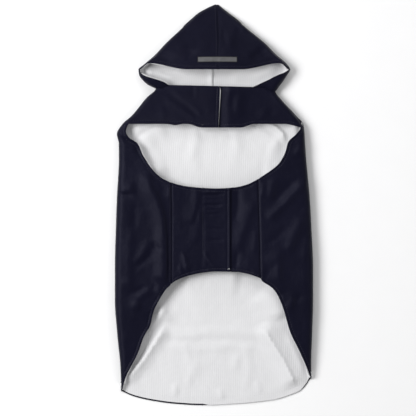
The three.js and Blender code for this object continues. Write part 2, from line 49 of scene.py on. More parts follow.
sections = table("up tilt left right fold crest hem brim dip neck", [
    (-236, 17, -117.5, 123.2, 5, 10, 1, 0, 0, 0),
    (-205, 10, -118.7, 123.4, 7, 13, 0.66, 0, 0, 0),
    (-165, 4, -122.6, 124.6, 8, 15, 0.32, 0, 0, 0),
    (-120, 0, -125.7, 125.7, 8.5, 17, 0.08, 0, 0, 0),
    (-80, 0, -125.7, 125.7, 8.5, 18, 0, 0, 0, 0),
    (-30, 0, -124.5, 123.6, 8.5, 17.5, 0, 0, 0, 0),
    (8, 0, -123.2, 121.5, 8.5, 17.5, 0, 0, 0, 0),
    (60, 0, -120.6, 116.8, 8, 18, 0, 0, 0, 0),
    (78, 0, -120.8, 115.6, 8, 18, 0, 0, 0, 0),
    (90, 0, -123.2, 114.9, 8, 18, 0, 0, 0.8, 0),
    (102.6, 0, -116.2, 113.2, 7.5, 18, 0, 0, 1, 0),
    (113, 0, -104.6, 104.4, 7.5, 18, 0, 0, 0.6, 0),
    (137, -2.4, -84.7, 84.6, 7, 18.5, 0, 0, 0.1, 0.45),
    (147, -3.6, -74.5, 78.5, 6.5, 19, 0, 0, 0, 1),
    (152.5, -3, -84.2, 82.2, 7.5, 20, 0, 0, 0, 0.6),
    (158, -2, -90.2, 87.2, 8.5, 22, 0, 0.1, 0, 0.2),
    (165, -0.8, -95, 92.4, 9, 25, 0, 0.4, 0, 0),
    (171.5, 0, -95.8, 96.7, 9, 27, 0, 1, 0, 0),
    (179, 0, -87.8, 92.2, 8.5, 26, 0, 0.8, 0, 0),
    (190, 0, -75.2, 79.6, 8, 24, 0, 0.4, 0, 0),
    (205, 0, -61.2, 64.8, 7, 20, 0, 0.1, 0, 0),
    (220, 0, -45.2, 46.4, 6, 15, 0, 0, 0, 0),
    (235, 0, -28.6, 28.4, 5, 10.5, 0, 0, 0, 0),
    (243, 0, -19, 17.9, 4.2, 8.4, 0, 0, 0, 0),
    (249, 0, -8.4, 10.4, 3, 6.2, 0, 0, 0, 0),
    (254, 0, 2, 4.4, 1, 2.6, 0, 0, 0, 0),
])
hemLine = table("across drop", [
    (0, 0), (0.06, 7.5), (0.15, 14.4), (0.29, 21.4), (0.44, 25.4),
    (0.63, 26), (0.79, 24.6), (0.92, 17.1), (0.96, 12.3), (1, 0),
])
leftOpening = table("up x", [
    (-236, -117.5), (-218, -111.8), (-188, -96.5), (-167, -88.9), (-152, -80.6), (-136, -76.8),
    (-120, -69.2), (-105.4, -59.7), (-100, -54.2), (-44, -53.8), (28.6, -54.2), (31.5, -62),
    (38, -71), (49.5, -81.6), (56.5, -86), (64, -90.6), (75.5, -95.4), (79.4, -98.4), (83.2, -104.8),
    (87, -109), (93, -111.6), (101, -109), (113, -94), (147, -60),
])
rightOpening = table("up x", [
    (-219, 123.2), (-207, 118.1), (-182, 106.7), (-161, 96.5), (-131, 87.6), (-115, 81),
    (-105, 73.7), (-94, 59.4), (-40, 58), (33, 56.2), (37, 62.2), (53, 82.6), (67, 90.2),
    (80, 94), (90, 104.2), (99, 110), (113, 94), (147, 67),
])
leftFace = table("up x", [
    (147, -51), (152, -58), (155.6, -63.8), (158.1, -70.2), (160.7, -78.4), (163.2, -87.2), (167.6, -93.4),
    (171.5, -94.8), (180, -77), (205, -51), (235, -26), (254, 1.6),
])
rightFace = table("up x", [
    (147, 46), (151.8, 54.8), (155.6, 62.6), (160.7, 73), (165.7, 83.4), (168.4, 90.4), (171.5, 95.7),
    (180, 80), (205, 54), (235, 25), (254, 3.8),
])
bellyTop = table("x up", [
    (-54.2, 28.6), (-45.7, 26), (-30, 23.1), (3.8, 21), (27, 22.5), (42, 26), (57, 33.2),
])
bellyBottom = table("x up", [
    (-54.2, -100), (-47, -95.3), (-31.8, -89.5), (-14, -85.7), (2, -84.2), (29, -85), (42, -87.6),
    (59.4, -94),
])
crownSeam = table("up x", [(147, 4), (205, 5), (240, 4), (254, 3.2)])
napeSeam = table("up x", [(147, -3.8), (205, -3.4), (249, 1), (254, 3.2)])

coat = {
    "hemCorner": -236, "band": 102.6, "neck": 147, "brim": 171.5,
    "seamGap": 0.3, "layerGap": 0.5, "shellWall": 1.2, "liningWall": 1,
    "bandLapLow": 5.6, "bandLapHigh": 7.6, "bandUnder": -15, "lapEase": 13,
    "dipX": 9, "dipHalf": 42, "dipFade": 17, "dip": 4.6,
    "wave": 1.7, "waveX": -49, "waveWide": 6, "cornerDrop": 4.2, "cornerX": 90, "cornerWide": 22,
    "throatRise": 4, "throatHalf": 71, "throatFade": 12,
    "brimLift": 8, "brimCorner": 0.14, "brimFall": 0.5,
}
bellySeam = {-1: (-100, 28.6), 1: (-94, 33)}  # where each belly flap is sewn on, from and to


def clamp(value, low=0.0, high=1.0):
    return max(low, min(high, value))


def mix(a, b, share):
    return a + (b - a) * share


def ease(t):
    t = clamp(t)
    return t * t * (3 - 2 * t)


def between(value, low, rise, high, fall):
    # 1 between low and high, easing in over the rise and out over the fall
    return ease((value - low) / rise) * ease((high - value) / fall)


def curveThrough(rows, along, value):
    # a smooth curve through a table's rows, which never passes beyond them
    xs = [row[along] for row in rows]
    ys = [row[value] for row in rows]
    last = len(rows) - 1
    slopes = [(ys[i + 1] - ys[i]) / (xs[i + 1] - xs[i]) for i in range(last)]
    tangents = []
    for i in range(last + 1):
        before, after = slopes[max(i - 1, 0)], slopes[min(i, last - 1)]
        tangents.append(0 if before * after <= 0 else 2 * before * after / (before + after))

    def read(place):
        at = clamp(place, xs[0], xs[last])
        i = 0
        while i < last - 1 and at > xs[i + 1]:
            i += 1
        span = xs[i + 1] - xs[i]
        t = (at - xs[i]) / span
        start = tangents[i] * span * t * (1 - t) ** 2
        end = tangents[i + 1] * span * t * t * (t - 1)
        return ys[i] + (ys[i + 1] - ys[i]) * t * t * (3 - 2 * t) + start + end

    return read


sectionNames = ["tilt", "left", "right", "fold", "crest", "hem", "brim", "dip", "neck"]
readSection = {name: curveThrough(sections, "up", name) for name in sectionNames}
hemDrop = curveThrough(hemLine, "across", "drop")
opening = {-1: curveThrough(leftOpening, "up", "x"), 1: curveThrough(rightOpening, "up", "x")}
crownSeamX = curveThrough(crownSeam, "up", "x")
napeSeamX = curveThrough(napeSeam, "up", "x")
flapTop = curveThrough(bellyTop, "x", "up")
flapBottom = curveThrough(bellyBottom, "x", "up")


class Section:
    # one section across the tube
    def __init__(self, up):
        self.up = up
        for name in sectionNames:
            setattr(self, name, readSection[name](up))
        self.middle = (self.left + self.right) / 2
        self.half = (self.right - self.left) / 2
        self.flat = self.half - self.fold
        self.turned = self.flat + pi * self.fold  # girth where the front layer begins

    def placeUp(self, x, inFront):
        across = clamp((x - self.left) / (2 * self.half))
        straight = self.up + self.tilt * across
        if not inFront:
            return straight - self.hem * hemDrop(across)
        fromCorner = 1 - abs(2 * across - 1)
        lift = coat["brimLift"] * (1 - ease((fromCorner - coat["brimCorner"]) / coat["brimFall"]))
        lift *= ease(fromCorner / coat["brimCorner"])
        dip = coat["dip"] * ease((coat["dipHalf"] - abs(x - coat["dipX"])) / coat["dipFade"])
        # the lower edge of the chest band has a small wave on the left and drops off at the right corner
        wave = coat["wave"] * exp(-(((x - coat["waveX"]) / coat["waveWide"]) ** 2))
        drop = coat["cornerDrop"] * ease((x - coat["cornerX"]) / coat["cornerWide"])
        dip += wave + drop
        throat = coat["throatRise"] * ease((coat["throatHalf"] - abs(x - self.middle)) / coat["throatFade"])
        return straight + self.brim * lift + self.neck * throat - self.dip * dip

    def frontHeight(self, x):
        out = min(abs(x - self.middle) / self.flat, 1)
        return self.crest + (2 * self.fold - self.crest) * ease(out)

    def girthTo(self, x, side):
        # the way round from the middle of the back to an x in the front layer
        out = (x - self.middle) * side
        if out <= self.flat:
            return side * (self.turned + self.flat - out)
        return side * (self.flat + self.fold * (pi - asin(min((out - self.flat) / self.fold, 1))))

    def girthToEdge(self, edge, side):
        x = edge(self.up)
        for _ in range(16):
            x = (x + edge(self.placeUp(x, True))) / 2
        return self.girthTo(x, side)

    def point(self, girth, under=None):
        side = 1 if girth >= 0 else -1
        far = abs(girth)
        if far <= self.flat:
            x = self.middle + girth
            return Vector((x, self.placeUp(x, False), 0))
        if far <= self.turned:
            turn = (far - self.flat) / self.fold
            x = self.middle + side * (self.flat + self.fold * sin(turn))
            return Vector((x, self.placeUp(x, turn > pi / 2), self.fold * (1 - cos(turn))))
        x = self.middle + side * (self.flat + self.turned - far)
        dip = under[1] * (1 - ease((x - under[0]) / coat["lapEase"])) if under else 0
        return Vector((x, self.placeUp(x, True), self.frontHeight(x) - dip))

    def frontShare(self, girth):
        # 0 on the back, 1 on the front layer, easing over the upper half of the side fold
        turn = (abs(girth) - self.flat) / self.fold
        return ease(turn / (pi / 2) - 1)


def rowAt(x, up, low, high):
    # the section whose front layer passes through the place at x and up
    for _ in range(30):
        middle = (low + high) / 2
        low, high = (middle, high) if Section(middle).placeUp(x, True) < up else (low, middle)
    return (low + high) / 2


def faceCurve(rows):
    # the face opening's edge by section, where its table gives the places themselves up to the brim.
    # the search begins lower, because the throat's sections are raised
    low, high = coat["neck"] - coat["throatRise"], coat["brim"]
    below = [row for row in rows if row["up"] < high]
    above = [row for row in rows if row["up"] >= high]
    below = [{"up": rowAt(row["x"], row["up"], low, high), "x": row["x"]} for row in below]
    return curveThrough(below + above, "up", "x")


faceEdge = {-1: faceCurve(leftFace), 1: faceCurve(rightFace)}
print("form: the coat's sections are read")


# Folds and creases, listed one by one. Each is a height, its half widths on the +X and the -X side of a line
# that runs down the coat (on the upper and the lower side where it runs to the right), and the line's points
# as (x, up). A negative height is a trough.

class Relief:
    def __init__(self, folds):
        self.folds = []
        for height, left, right, *points in folds:
            legs = []
            length = 0
            for a, b in zip(points, points[1:]):
                run = hypot(b[0] - a[0], b[1] - a[1])
                legs.append((a, b, run, length))
                length += run
            reach = 2.6 * max(left, right)
            xs, ys = [p[0] for p in points], [p[1] for p in points]
            box = (min(xs) - reach, max(xs) + reach, min(ys) - reach, max(ys) + reach)
            fade = min(0.4, 14 / length)  # a fold runs out over this share of its length
            self.folds.append((height, left, right, legs, length, fade, box))

    def at(self, x, y):
        total = 0
        for height, left, right, legs, length, fade, box in self.folds:
            if x < box[0] or x > box[1] or y < box[2] or y > box[3]:
                continue
            nearest, along, side = 1e9, 0, 1
            for a, b, run, before in legs:
                ux, uy = (b[0] - a[0]) / run, (b[1] - a[1]) / run
                raw = (x - a[0]) * ux + (y - a[1]) * uy
                t = clamp(raw, 0, run)
                off = hypot(x - a[0] - t * ux, y - a[1] - t * uy)
                if off < nearest:
                    nearest = off
                    along = (before + t) / length
                    side = 1 if (x - a[0]) * uy - (y - a[1]) * ux > 0 else -1
            half = right if side > 0 else left
            ends = ease(along / fade + 0.1) * ease((1 - along) / fade + 0.1)
            total += height * ends * exp(-((nearest / half) ** 2))
        return total


def softNoise(x, y, size, seed):
    return noise.noise(Vector((x / size, y / size, seed)))


frontFolds = Relief([
    # the left side: one long fold beside the belly, and smaller ones round it
    (3.9, 3, 10, (-83, 44), (-78, 20), (-70, 4), (-65, -14), (-62, -40), (-61, -74), (-63, -103)),
    (1, 3, 7, (-70, -36), (-67, -60), (-69, -98)),
    (-1.6, 2.4, 2.4, (-78, -46), (-72, -54), (-64, -59)),
    (1.2, 2, 4, (-73, 34), (-70, 12)),
    (-1.5, 2, 3.5, (-80, 42), (-77, 26), (-73, 13)),
    (0.8, 1.8, 3, (-56.5, 28), (-57, 6)),
    (2, 3, 12, (-106, 30), (-103, 14)),
    (-1.7, 1.3, 2, (-126, 13), (-114, 12.6), (-103, 13.6)),
    (-0.9, 3, 5, (-100, 2), (-99, -14), (-102, -34)),
    (1, 3, 7, (-104, -30), (-108, -74), (-104, -112)),
    (1.3, 4, 5, (-79, -42), (-88, -58), (-102, -78)),
    (-1.2, 3, 3, (-75, -58), (-88, -70), (-102, -82)),
    (2, 3, 5, (-74, -98), (-68, -107), (-70, -116)),
    (-1.6, 1.8, 1.8, (-74, -91), (-67, -98), (-60, -99)),
    (-1.2, 1.6, 1.6, (-80, -108), (-72, -102)),
    (2.2, 3, 7, (-97, -118), (-97, -134)),
    (1.5, 5, 3, (-98, -118), (-84, -111), (-76, -112)),
    (-1.6, 2.4, 2.4, (-112, -114), (-97, -109), (-84, -103)),
    (0.9, 4, 5, (-120, -100), (-104, -96)),
    # the right side: slanting folds that run down towards the belly
    (2, 4, 7, (78, 38), (74, 20), (70, 4)),
    (-1.5, 5, 6, (104, 30), (86, 13), (72, -3)),
    (2.6, 4.5, 6.5, (120, 30), (104, 17), (92, 4), (78, -10), (66, -20)),
    (2.3, 4.5, 7.5, (113, -14), (105, -33), (98, -50), (93, -64)),
    (-1.1, 3, 3, (94, -26), (78, -42), (62, -52)),
    (1.5, 4, 10, (90, -54), (82, -66), (66, -76)),
    (2.1, 2.2, 7, (83, -66), (84, -102)),
    (-0.9, 3, 3, (71, -79), (62, -96)),
    (-1.5, 2, 2, (96, -108), (86, -112), (80, -118)),
    (1.7, 3, 6, (101, -114), (96, -136)),
    (-0.9, 3, 4, (112, -112), (102, -124)),
    (1.2, 5, 6, (117, 78), (101, 61)),
    (1.1, 4, 8, (118, -44), (115, -74)),
    (0.8, 4, 8, (116, -78), (114, -108)),
    (-0.8, 3, 3, (122, 3), (112, -2), (106, -12)),
    (1, 2.4, 3, (63, 30), (61, 8)),
    # the belly
    (1.3, 2.6, 8, (-20, 26), (-21, 4), (-26, -12), (-29, -26)),
    (0.9, 3, 5, (-17, -4), (-18.5, -28)),
    (0.7, 4, 8, (-20, -24), (-24, -50)),
    (1.9, 1.6, 4, (-40, -58), (-36, -68), (-32, -86)),
    (0.9, 1.8, 3, (-44, -74), (-39, -92)),
    (1.1, 1.4, 1.8, (-13, -56), (-9, -66), (4, -82)),
    (1.5, 5, 9, (51, 6), (43, -17), (34, -40), (28, -60)),
    (-1.3, 5, 5, (29, 26), (30, 4), (27, -24)),
    (-1.4, 3.5, 3, (29, -58), (27, -82)),
    (0.8, 3, 4, (53, -28), (51, -64)),
    (-1.7, 1.4, 1.4, (-17, 13.4), (0, 12.6), (14, 13.6)),
    (0.8, 1.3, 1.3, (-18, 17.4), (0, 16.6), (15, 17.4)),
    (-0.7, 1.2, 1.2, (-14, 7.6), (0, 7), (10, 7.8)),
    (-1.5, 1.4, 1.4, (-15, 0.6), (0, -0.4), (12, 0.6)),
    (-0.6, 1.4, 1.4, (-14, -6), (4, -6.4)),
    (-0.7, 1.5, 1.5, (-12, -11.5), (10, -11)),
    (-0.6, 1.6, 1.6, (-12, -29), (14, -31)),
    (-0.7, 1.5, 1.5, (-12, -44), (14, -45)),
    # the chest band
    (-2.8, 4, 2.6, (-62, 147), (-51, 136), (-35, 125), (-17, 109)),
    (1.6, 3, 8, (-58, 150), (-46, 136), (-30, 125), (-14, 110)),
    (-1, 3, 3, (-30, 150), (-24, 138)),
    (1, 5, 7, (70, 120), (56, 106)),
    (-0.8, 3, 4, (80, 122), (64, 110)),
    (0.9, 5, 6, (36, 146), (30, 126), (34, 108)),
    (0.8, 4, 6, (-66, 124), (-62, 106)),
    (-0.8, 4, 4, (22, 140), (24, 118)),
    # the rolled corners of the leg opening
    (-2.2, 2.6, 3.4, (-124, 89), (-113, 82), (-100, 77), (-93, 62)),
    (1.5, 3.4, 5, (-121, 100), (-114, 108), (-101, 114)),
    (-1.2, 3, 3, (116, 92), (107, 86), (98, 82)),
    (1, 4, 4, (113, 100), (106, 108), (96, 114)),
])
hoodFolds = Relief([
    (1.9, 5, 9, (-34, 206), (-44, 195), (-60, 186)),
    (-1.2, 4, 4, (-67, 184), (-52, 183)),
    (-1, 4, 4, (-26, 196), (-36, 184)),
    (1.2, 4, 7, (-6, 209), (-12, 198), (-24, 190)),
    (-0.9, 3, 4, (12, 226), (13, 200)),
    (1.1, 4, 7, (30, 232), (22, 212), (20, 194)),
    (-1.5, 4, 5, (72, 200), (56, 190), (44, 182)),
    (1.4, 4, 7, (60, 205), (48, 194), (40, 184)),
    (-1, 4, 4, (84, 186), (66, 181)),
    (0.9, 4, 7, (-14, 246), (-34, 226)),
    (0.9, 5, 4, (44, 218), (26, 238)),
    (-0.7, 3, 3, (4, 188), (0, 176)),
])
backFolds = Relief([
    (-1.3, 6, 8, (-92, 96), (-70, 60), (-62, 18)),
    (-1.2, 8, 5, (90, 98), (72, 66), (66, 22)),
    (-1, 7, 7, (-80, -40), (-70, -92), (-78, -140)),
    (-1.2, 6, 9, (84, -30), (76, -84), (88, -146)),
    (-0.9, 5, 6, (-28, 120), (-22, 84), (-30, 50)),
    (-0.9, 6, 5, (34, 124), (26, 92), (31, 60)),
    (-0.9, 5, 5, (-40, -170), (-28, -205), (-34, -236)),
    (-0.8, 5, 6, (38, -176), (46, -206), (40, -238)),
    (-0.7, 9, 9, (-70, -163), (0, -169), (72, -163)),
    (-0.8, 6, 6, (-44, 168), (-36, 190), (-20, 212)),
    (-0.8, 6, 6, (46, 168), (38, 192), (22, 214)),
])
liningFolds = Relief([
    # seen through the rear opening
    (3.8, 13, 10, (60, -150), (72, -172), (88, -197), (102, -232)),
    (1.7, 1.8, 2.6, (62, -154), (73, -173), (88, -196), (104, -230)),
    (1.2, 3, 5, (92, -160), (106, -190), (116, -214)),
    (2.8, 8, 4.6, (-60, -152), (-74, -173), (-91, -199), (-113, -226)),
    (1.4, 2, 2, (-62, -156), (-74, -174), (-92, -200), (-112, -222)),
    (3, 5, 6, (-62, -122), (-68, -138), (-84, -164)),
    (1.8, 8, 9, (-66, -128), (-62, -142), (-66, -150)),
    (3.4, 20, 26, (-44, -86), (-10, -82), (36, -86)),
    (3, 12, 20, (64, -104), (78, -122), (88, -146)),
    (0.8, 6, 7, (-56, -166), (-30, -166), (-4, -160), (30, -159), (58, -166)),
    (-0.45, 6, 6, (-66, -173), (-10, -170), (66, -174)),
    (0.7, 6, 6, (-58, -178), (-20, -183), (20, -178), (56, -182)),
    (1, 3, 4, (-50, -226), (-48, -243)),
    (0.9, 3, 3, (5, -232), (12, -248)),
    (0.9, 4, 3, (52, -222), (60, -240)),
    (-0.8, 4, 4, (66, -152), (64, -164)),
    (0.6, 6, 5, (-20, -190), (-26, -222)),
    (0.6, 5, 6, (30, -186), (26, -214)),
    # seen through the leg opening, with a fold that comes down from the side at both ends
    (2.4, 5, 14, (-60, 110), (-76, 104), (-90, 98), (-105, 87)),
    (2.2, 16, 4, (-58, 99), (-73, 94), (-85, 88), (-97, 79)),
    (3.6, 8, 16, (-102, 82), (-95, 66), (-82, 49), (-62, 33)),
    (-0.8, 3, 3, (-88, 70), (-82, 57), (-74, 48)),
    (-0.9, 3, 3, (-72, 44), (-62, 38)),
    (4.5, 14, 9, (101, 110), (110, 97), (106, 82)),
    (2.6, 1.5, 5, (64, 106), (79, 99), (88, 90), (92, 78)),
    (1.1, 3.5, 9, (46, 101), (62, 93), (76, 83), (85, 69)),
    (1, 4, 6, (88, 60), (78, 46), (62, 36)),
    (0.5, 8, 8, (-20, 92), (-26, 64), (-22, 40)),
    (0.5, 8, 8, (26, 90), (30, 66), (24, 42)),
    # seen through the face opening
    (4.5, 12, 8, (-92, 186), (-92, 170), (-86, 154)),
    (1.7, 1.1, 3.8, (-2.6, 204), (-2.6, 172), (-2.6, 146)),
    (3.4, 14, 18, (22, 177), (54, 179), (84, 176)),
    (-1, 3, 3, (-74, 178), (-57, 170), (-37, 165)),
    (1.2, 4, 4, (-80, 170), (-62, 163), (-44, 158)),
    (-0.8, 3, 3, (12, 171), (4, 166), (-1, 162)),
    (1, 5, 4, (20, 176), (28, 164), (24, 152)),
    (1, 4, 5, (76, 174), (60, 166), (44, 160)),
])

stitchLine = 3.8  # millimetres from a free edge to its row of stitches
hemSteps = [0, 0.7, 1.5, 2.4, 3.3, 3.8, 4.3, 5.2, 6.6]  # close rows and columns along a hem


def hemRoll(off, along=None):
    # a turned hem is a little thicker, and the row of stitches pulls it in and puckers it
    roll = 0.3 * exp(-(((off - 1.6) / 1.5) ** 2)) - 0.28 * exp(-(((off - stitchLine) / 0.7) ** 2))
    if along is None:
        return roll
    return roll + 0.5 * exp(-(((off - 3) / 2.8) ** 2)) * softNoise(along, off * 0.3, 3.1, 33.0)


def stops(low, high, count):
    return [low + (high - low) * i / count for i in range(count)]


def rowsThrough(*parts):
    # each part is (from, to, steps, hem below, hem above), and close rows are laid beside a hem
    rows = []
    for low, high, steps, below, above in parts:
        start = low + (hemSteps[-1] if below else 0)
        end = high - (hemSteps[-1] if above else 0)
        rows += [low + step for step in hemSteps[:-1]] if below else []
        rows += stops(start, end, steps)
        rows += [high - step for step in reversed(hemSteps[1:])] if above else []
    return rows + [parts[-1][1]]


def sideColumns(section, reach, front, fold):
    # from a free edge over the side fold to where the flat back begins, close together along the edge
    wayRound = reach - section.flat
    hem = min(hemSteps[-1], 0.5 * wayRound)
    turned = min(section.turned, section.flat + 0.6 * wayRound)
    near = [reach - step * hem / hemSteps[-1] for step in hemSteps[:-1]]
    return near + stops(reach - hem, turned, front) + stops(turned, section.flat, fold)


def hemmedShares(size, count):
    # shares of a length, close together along the hems at both of its ends
    near = [step / size for step in hemSteps]
    return near[:-1] + stops(near[-1], 1 - near[-1], count) + [1 - share for share in reversed(near)]


print("form: the folds are read")


# Finishes. The weave and the rib are node groups that give heights and masks, and each cloth sets its own
# values on them.

def nodeGroup(name, inputs, outputs):
    group = bpy.data.node_groups.new(name, "ShaderNodeTree")
    for label, kind, value in inputs:
        socket = group.interface.new_socket(name=label, in_out="INPUT", socket_type=kind)
        if value is not None:
            socket.default_value = value
    for label, kind in outputs:
        group.interface.new_socket(name=label, in_out="OUTPUT", socket_type=kind)
    return group, group.nodes.new("NodeGroupInput"), group.nodes.new("NodeGroupOutput")


def mathNode(tree, operation, a, b=None):
    node = tree.nodes.new("ShaderNodeMath")
    node.operation = operation
    for slot, value in enumerate((a, b)):
        if hasattr(value, "links"):
            tree.links.new(value, node.inputs[slot])
        elif value is not None:
            node.inputs[slot].default_value = value
    return node.outputs[0]


def scaledNoise(tree, vector, scale, detail, stretch=(1, 1, 1)):
    mapping = tree.nodes.new("ShaderNodeMapping")
    mapping.inputs["Scale"].default_value = stretch
    tree.links.new(vector, mapping.inputs["Vector"])
    field = tree.nodes.new("ShaderNodeTexNoise")
    field.inputs["Scale"].default_value = scale
    field.inputs["Detail"].default_value = detail
    tree.links.new(mapping.outputs["Vector"], field.inputs["Vector"])
    return field.outputs["Fac"]


def makeThreadGroup():
    # over and under threads of a plain weave, with slubs where a thread runs thicker
    group, inside, out = nodeGroup(
        "plainWeave",
        [("Vector", "NodeSocketVector", None), ("Threads per metre", "NodeSocketFloat", 1600.0)],
        [("Height", "NodeSocketFloat"), ("Slub", "NodeSocketFloat")],
    )
    split = group.nodes.new("ShaderNodeSeparateXYZ")
    group.links.new(inside.outputs["Vector"], split.inputs["Vector"])
    turn = mathNode(group, "MULTIPLY", inside.outputs["Threads per metre"], pi)
    across = mathNode(group, "SINE", mathNode(group, "MULTIPLY", split.outputs["X"], turn))
    along = mathNode(group, "SINE", mathNode(group, "MULTIPLY", split.outputs["Y"], turn))
    over = mathNode(group, "MULTIPLY", across, along)
    slub = scaledNoise(group, inside.outputs["Vector"], 190, 3, (1, 0.16, 1))
    height = mathNode(group, "ADD", mathNode(group, "MULTIPLY", over, 0.5), slub)
    group.links.new(height, out.inputs["Height"])
    group.links.new(slub, out.inputs["Slub"])
    return group


def makeRibGroup():
    # ribs along the cloth's length, with rows of knitted loops and small holes between them
    group, inside, out = nodeGroup(
        "ribbedMesh",
        [("Vector", "NodeSocketVector", None), ("Ribs per metre", "NodeSocketFloat", 420.0),
         ("Loops per metre", "NodeSocketFloat", 900.0)],
        [("Height", "NodeSocketFloat"), ("Pits", "NodeSocketFloat"), ("Rib", "NodeSocketFloat")],
    )
    sway = scaledNoise(group, inside.outputs["Vector"], 60, 2, (1, 0.3, 1))
    split = group.nodes.new("ShaderNodeSeparateXYZ")
    group.links.new(inside.outputs["Vector"], split.inputs["Vector"])
    ribTurn = mathNode(group, "MULTIPLY", inside.outputs["Ribs per metre"], 2 * pi)
    loopTurn = mathNode(group, "MULTIPLY", inside.outputs["Loops per metre"], 2 * pi)
    swayed = mathNode(group, "ADD", mathNode(group, "MULTIPLY", split.outputs["X"], ribTurn),
                      mathNode(group, "MULTIPLY", sway, 1.6))
    rib = mathNode(group, "MULTIPLY", mathNode(group, "ADD", mathNode(group, "SINE", swayed), 1), 0.5)
    loop = mathNode(group, "SINE", mathNode(group, "MULTIPLY", split.outputs["Y"], loopTurn))
    loopHeight = mathNode(group, "MULTIPLY", mathNode(group, "ADD", loop, 1), 0.5)
    fuzz = scaledNoise(group, inside.outputs["Vector"], 900, 2)
    pits = mathNode(group, "MULTIPLY", mathNode(group, "SUBTRACT", 1, rib),
                    mathNode(group, "POWER", mathNode(group, "SUBTRACT", 1, loopHeight), 3))
    hairy = mathNode(group, "MULTIPLY", fuzz, 0.5)
    knit = mathNode(group, "ADD", mathNode(group, "MULTIPLY", rib, 0.7), hairy)
    height = mathNode(group, "SUBTRACT", knit, mathNode(group, "MULTIPLY", pits, 0.8))
    group.links.new(height, out.inputs["Height"])
    group.links.new(pits, out.inputs["Pits"])
    group.links.new(rib, out.inputs["Rib"])
    return group


plainWeave = makeThreadGroup()
ribbedMesh = makeRibGroup()


def newMaterial(name, settings):
    material = bpy.data.materials.new(name)
    material.use_nodes = True
    material.diffuse_color = (*settings["color"], 1)
    shader = material.node_tree.nodes["Principled BSDF"]
    shader.inputs["Base Color"].default_value = (*settings["color"], 1)
    shader.inputs["Roughness"].default_value = settings["roughness"]
    shader.inputs["Specular IOR Level"].default_value = settings["specular"]
    shader.inputs["Sheen Weight"].default_value = settings.get("sheen", 0)
    shader.inputs["Sheen Roughness"].default_value = settings.get("sheenRoughness", 0.5)
    shader.inputs["Sheen Tint"].default_value = (*settings.get("sheenTint", (1, 1, 1)), 1)
    shader.inputs["Specular Tint"].default_value = (*settings.get("tint", (1, 1, 1)), 1)
    return material, material.node_tree, shader


def clothVector(tree):
    uv = tree.nodes.new("ShaderNodeUVMap")
    uv.uv_map = "cloth"
    return uv.outputs["UV"]


def objectVector(tree):
    return tree.nodes.new("ShaderNodeTexCoord").outputs["Object"]


def placeGroup(tree, group, vector, **values):
    node = tree.nodes.new("ShaderNodeGroup")
    node.node_tree = group
    tree.links.new(vector, node.inputs["Vector"])
    for label, value in values.items():
        node.inputs[label.replace("_", " ")].default_value = value
    return node


def rampBetween(tree, factor, low, high, start=0.0, end=1.0):
    ramp = tree.nodes.new("ShaderNodeValToRGB")
    ramp.color_ramp.elements[0].position = start
    ramp.color_ramp.elements[0].color = (*low, 1)
    ramp.color_ramp.elements[1].position = end
    ramp.color_ramp.elements[1].color = (*high, 1)
    tree.links.new(factor, ramp.inputs["Fac"])
    return ramp.outputs["Color"]


def addBump(tree, shader, height, distance, strength=1.0, below=None):
    bump = tree.nodes.new("ShaderNodeBump")
    bump.inputs["Distance"].default_value = distance
    bump.inputs["Strength"].default_value = strength
    tree.links.new(height, bump.inputs["Height"])
    if below:
        tree.links.new(below, bump.inputs["Normal"])
    tree.links.new(bump.outputs["Normal"], shader.inputs["Normal"])
    return bump.outputs["Normal"]


navySettings = {
    "color": (0.0046, 0.0046, 0.0126), "dark": (0.0038, 0.0038, 0.011), "light": (0.0056, 0.0056, 0.0145),
    "roughness": 0.38, "specular": 0.09, "tint": (0.78, 0.78, 1.0),
    "sheen": 0.035, "sheenTint": (0.6, 0.6, 1.0), "sheenRoughness": 0.35,
    "threads": 1700.0, "weaveDepth": 0.00012, "crinkle": 0.0007,
}


def makeNavy(name="navyCoatedCloth", settings=navySettings):
    material, tree, shader = newMaterial(name, settings)
    vector = clothVector(tree)
    place = objectVector(tree)
    weave = placeGroup(tree, plainWeave, vector, Threads_per_metre=settings["threads"])
    cloud = scaledNoise(tree, place, 16, 4)
    tint = rampBetween(tree, cloud, settings["dark"], settings["light"], 0.3, 0.72)
    tree.links.new(tint, shader.inputs["Base Color"])
    gloss = mathNode(tree, "MULTIPLY", scaledNoise(tree, place, 45, 3), 0.16)
    tree.links.new(mathNode(tree, "ADD", gloss, settings["roughness"] - 0.08), shader.inputs["Roughness"])
    crinkle = addBump(tree, shader, scaledNoise(tree, place, 120, 4), settings["crinkle"], 0.55)
    addBump(tree, shader, weave.outputs["Height"], settings["weaveDepth"], 0.8, crinkle)
    return material


liningSettings = {
    "color": (0.73, 0.73, 0.742), "pitShade": (0.58, 0.58, 0.6), "roughness": 0.9, "specular": 0.15,
    "sheen": 0.15, "sheenRoughness": 0.6, "ribs": 420.0, "loops": 760.0, "ribDepth": 0.00015,
}


def makeLiningCloth(name="whiteRibbedMesh", settings=liningSettings):
    material, tree, shader = newMaterial(name, settings)
    vector = clothVector(tree)
    rib = placeGroup(tree, ribbedMesh, vector,
                     Ribs_per_metre=settings["ribs"], Loops_per_metre=settings["loops"])
    # the knit's pits and the valleys between its ribs are painted darker: painted shade in the recesses
    shade = mathNode(tree, "ADD", mathNode(tree, "MULTIPLY", rib.outputs["Pits"], 0.7),
                     mathNode(tree, "MULTIPLY", mathNode(tree, "SUBTRACT", 1, rib.outputs["Rib"]), 0.05))
    tint = rampBetween(tree, shade, settings["color"], settings["pitShade"])
    tree.links.new(tint, shader.inputs["Base Color"])
    soft = addBump(tree, shader, scaledNoise(tree, objectVector(tree), 70, 3), 0.0011, 0.5)
    addBump(tree, shader, rib.outputs["Height"], settings["ribDepth"], 0.8, soft)
    return material


tapeSettings = {
    "color": (0.07, 0.07, 0.073), "light": (0.1, 0.1, 0.104), "roughness": 0.42, "specular": 0.4,
    "sheen": 0.0, "beads": 2600.0,
}


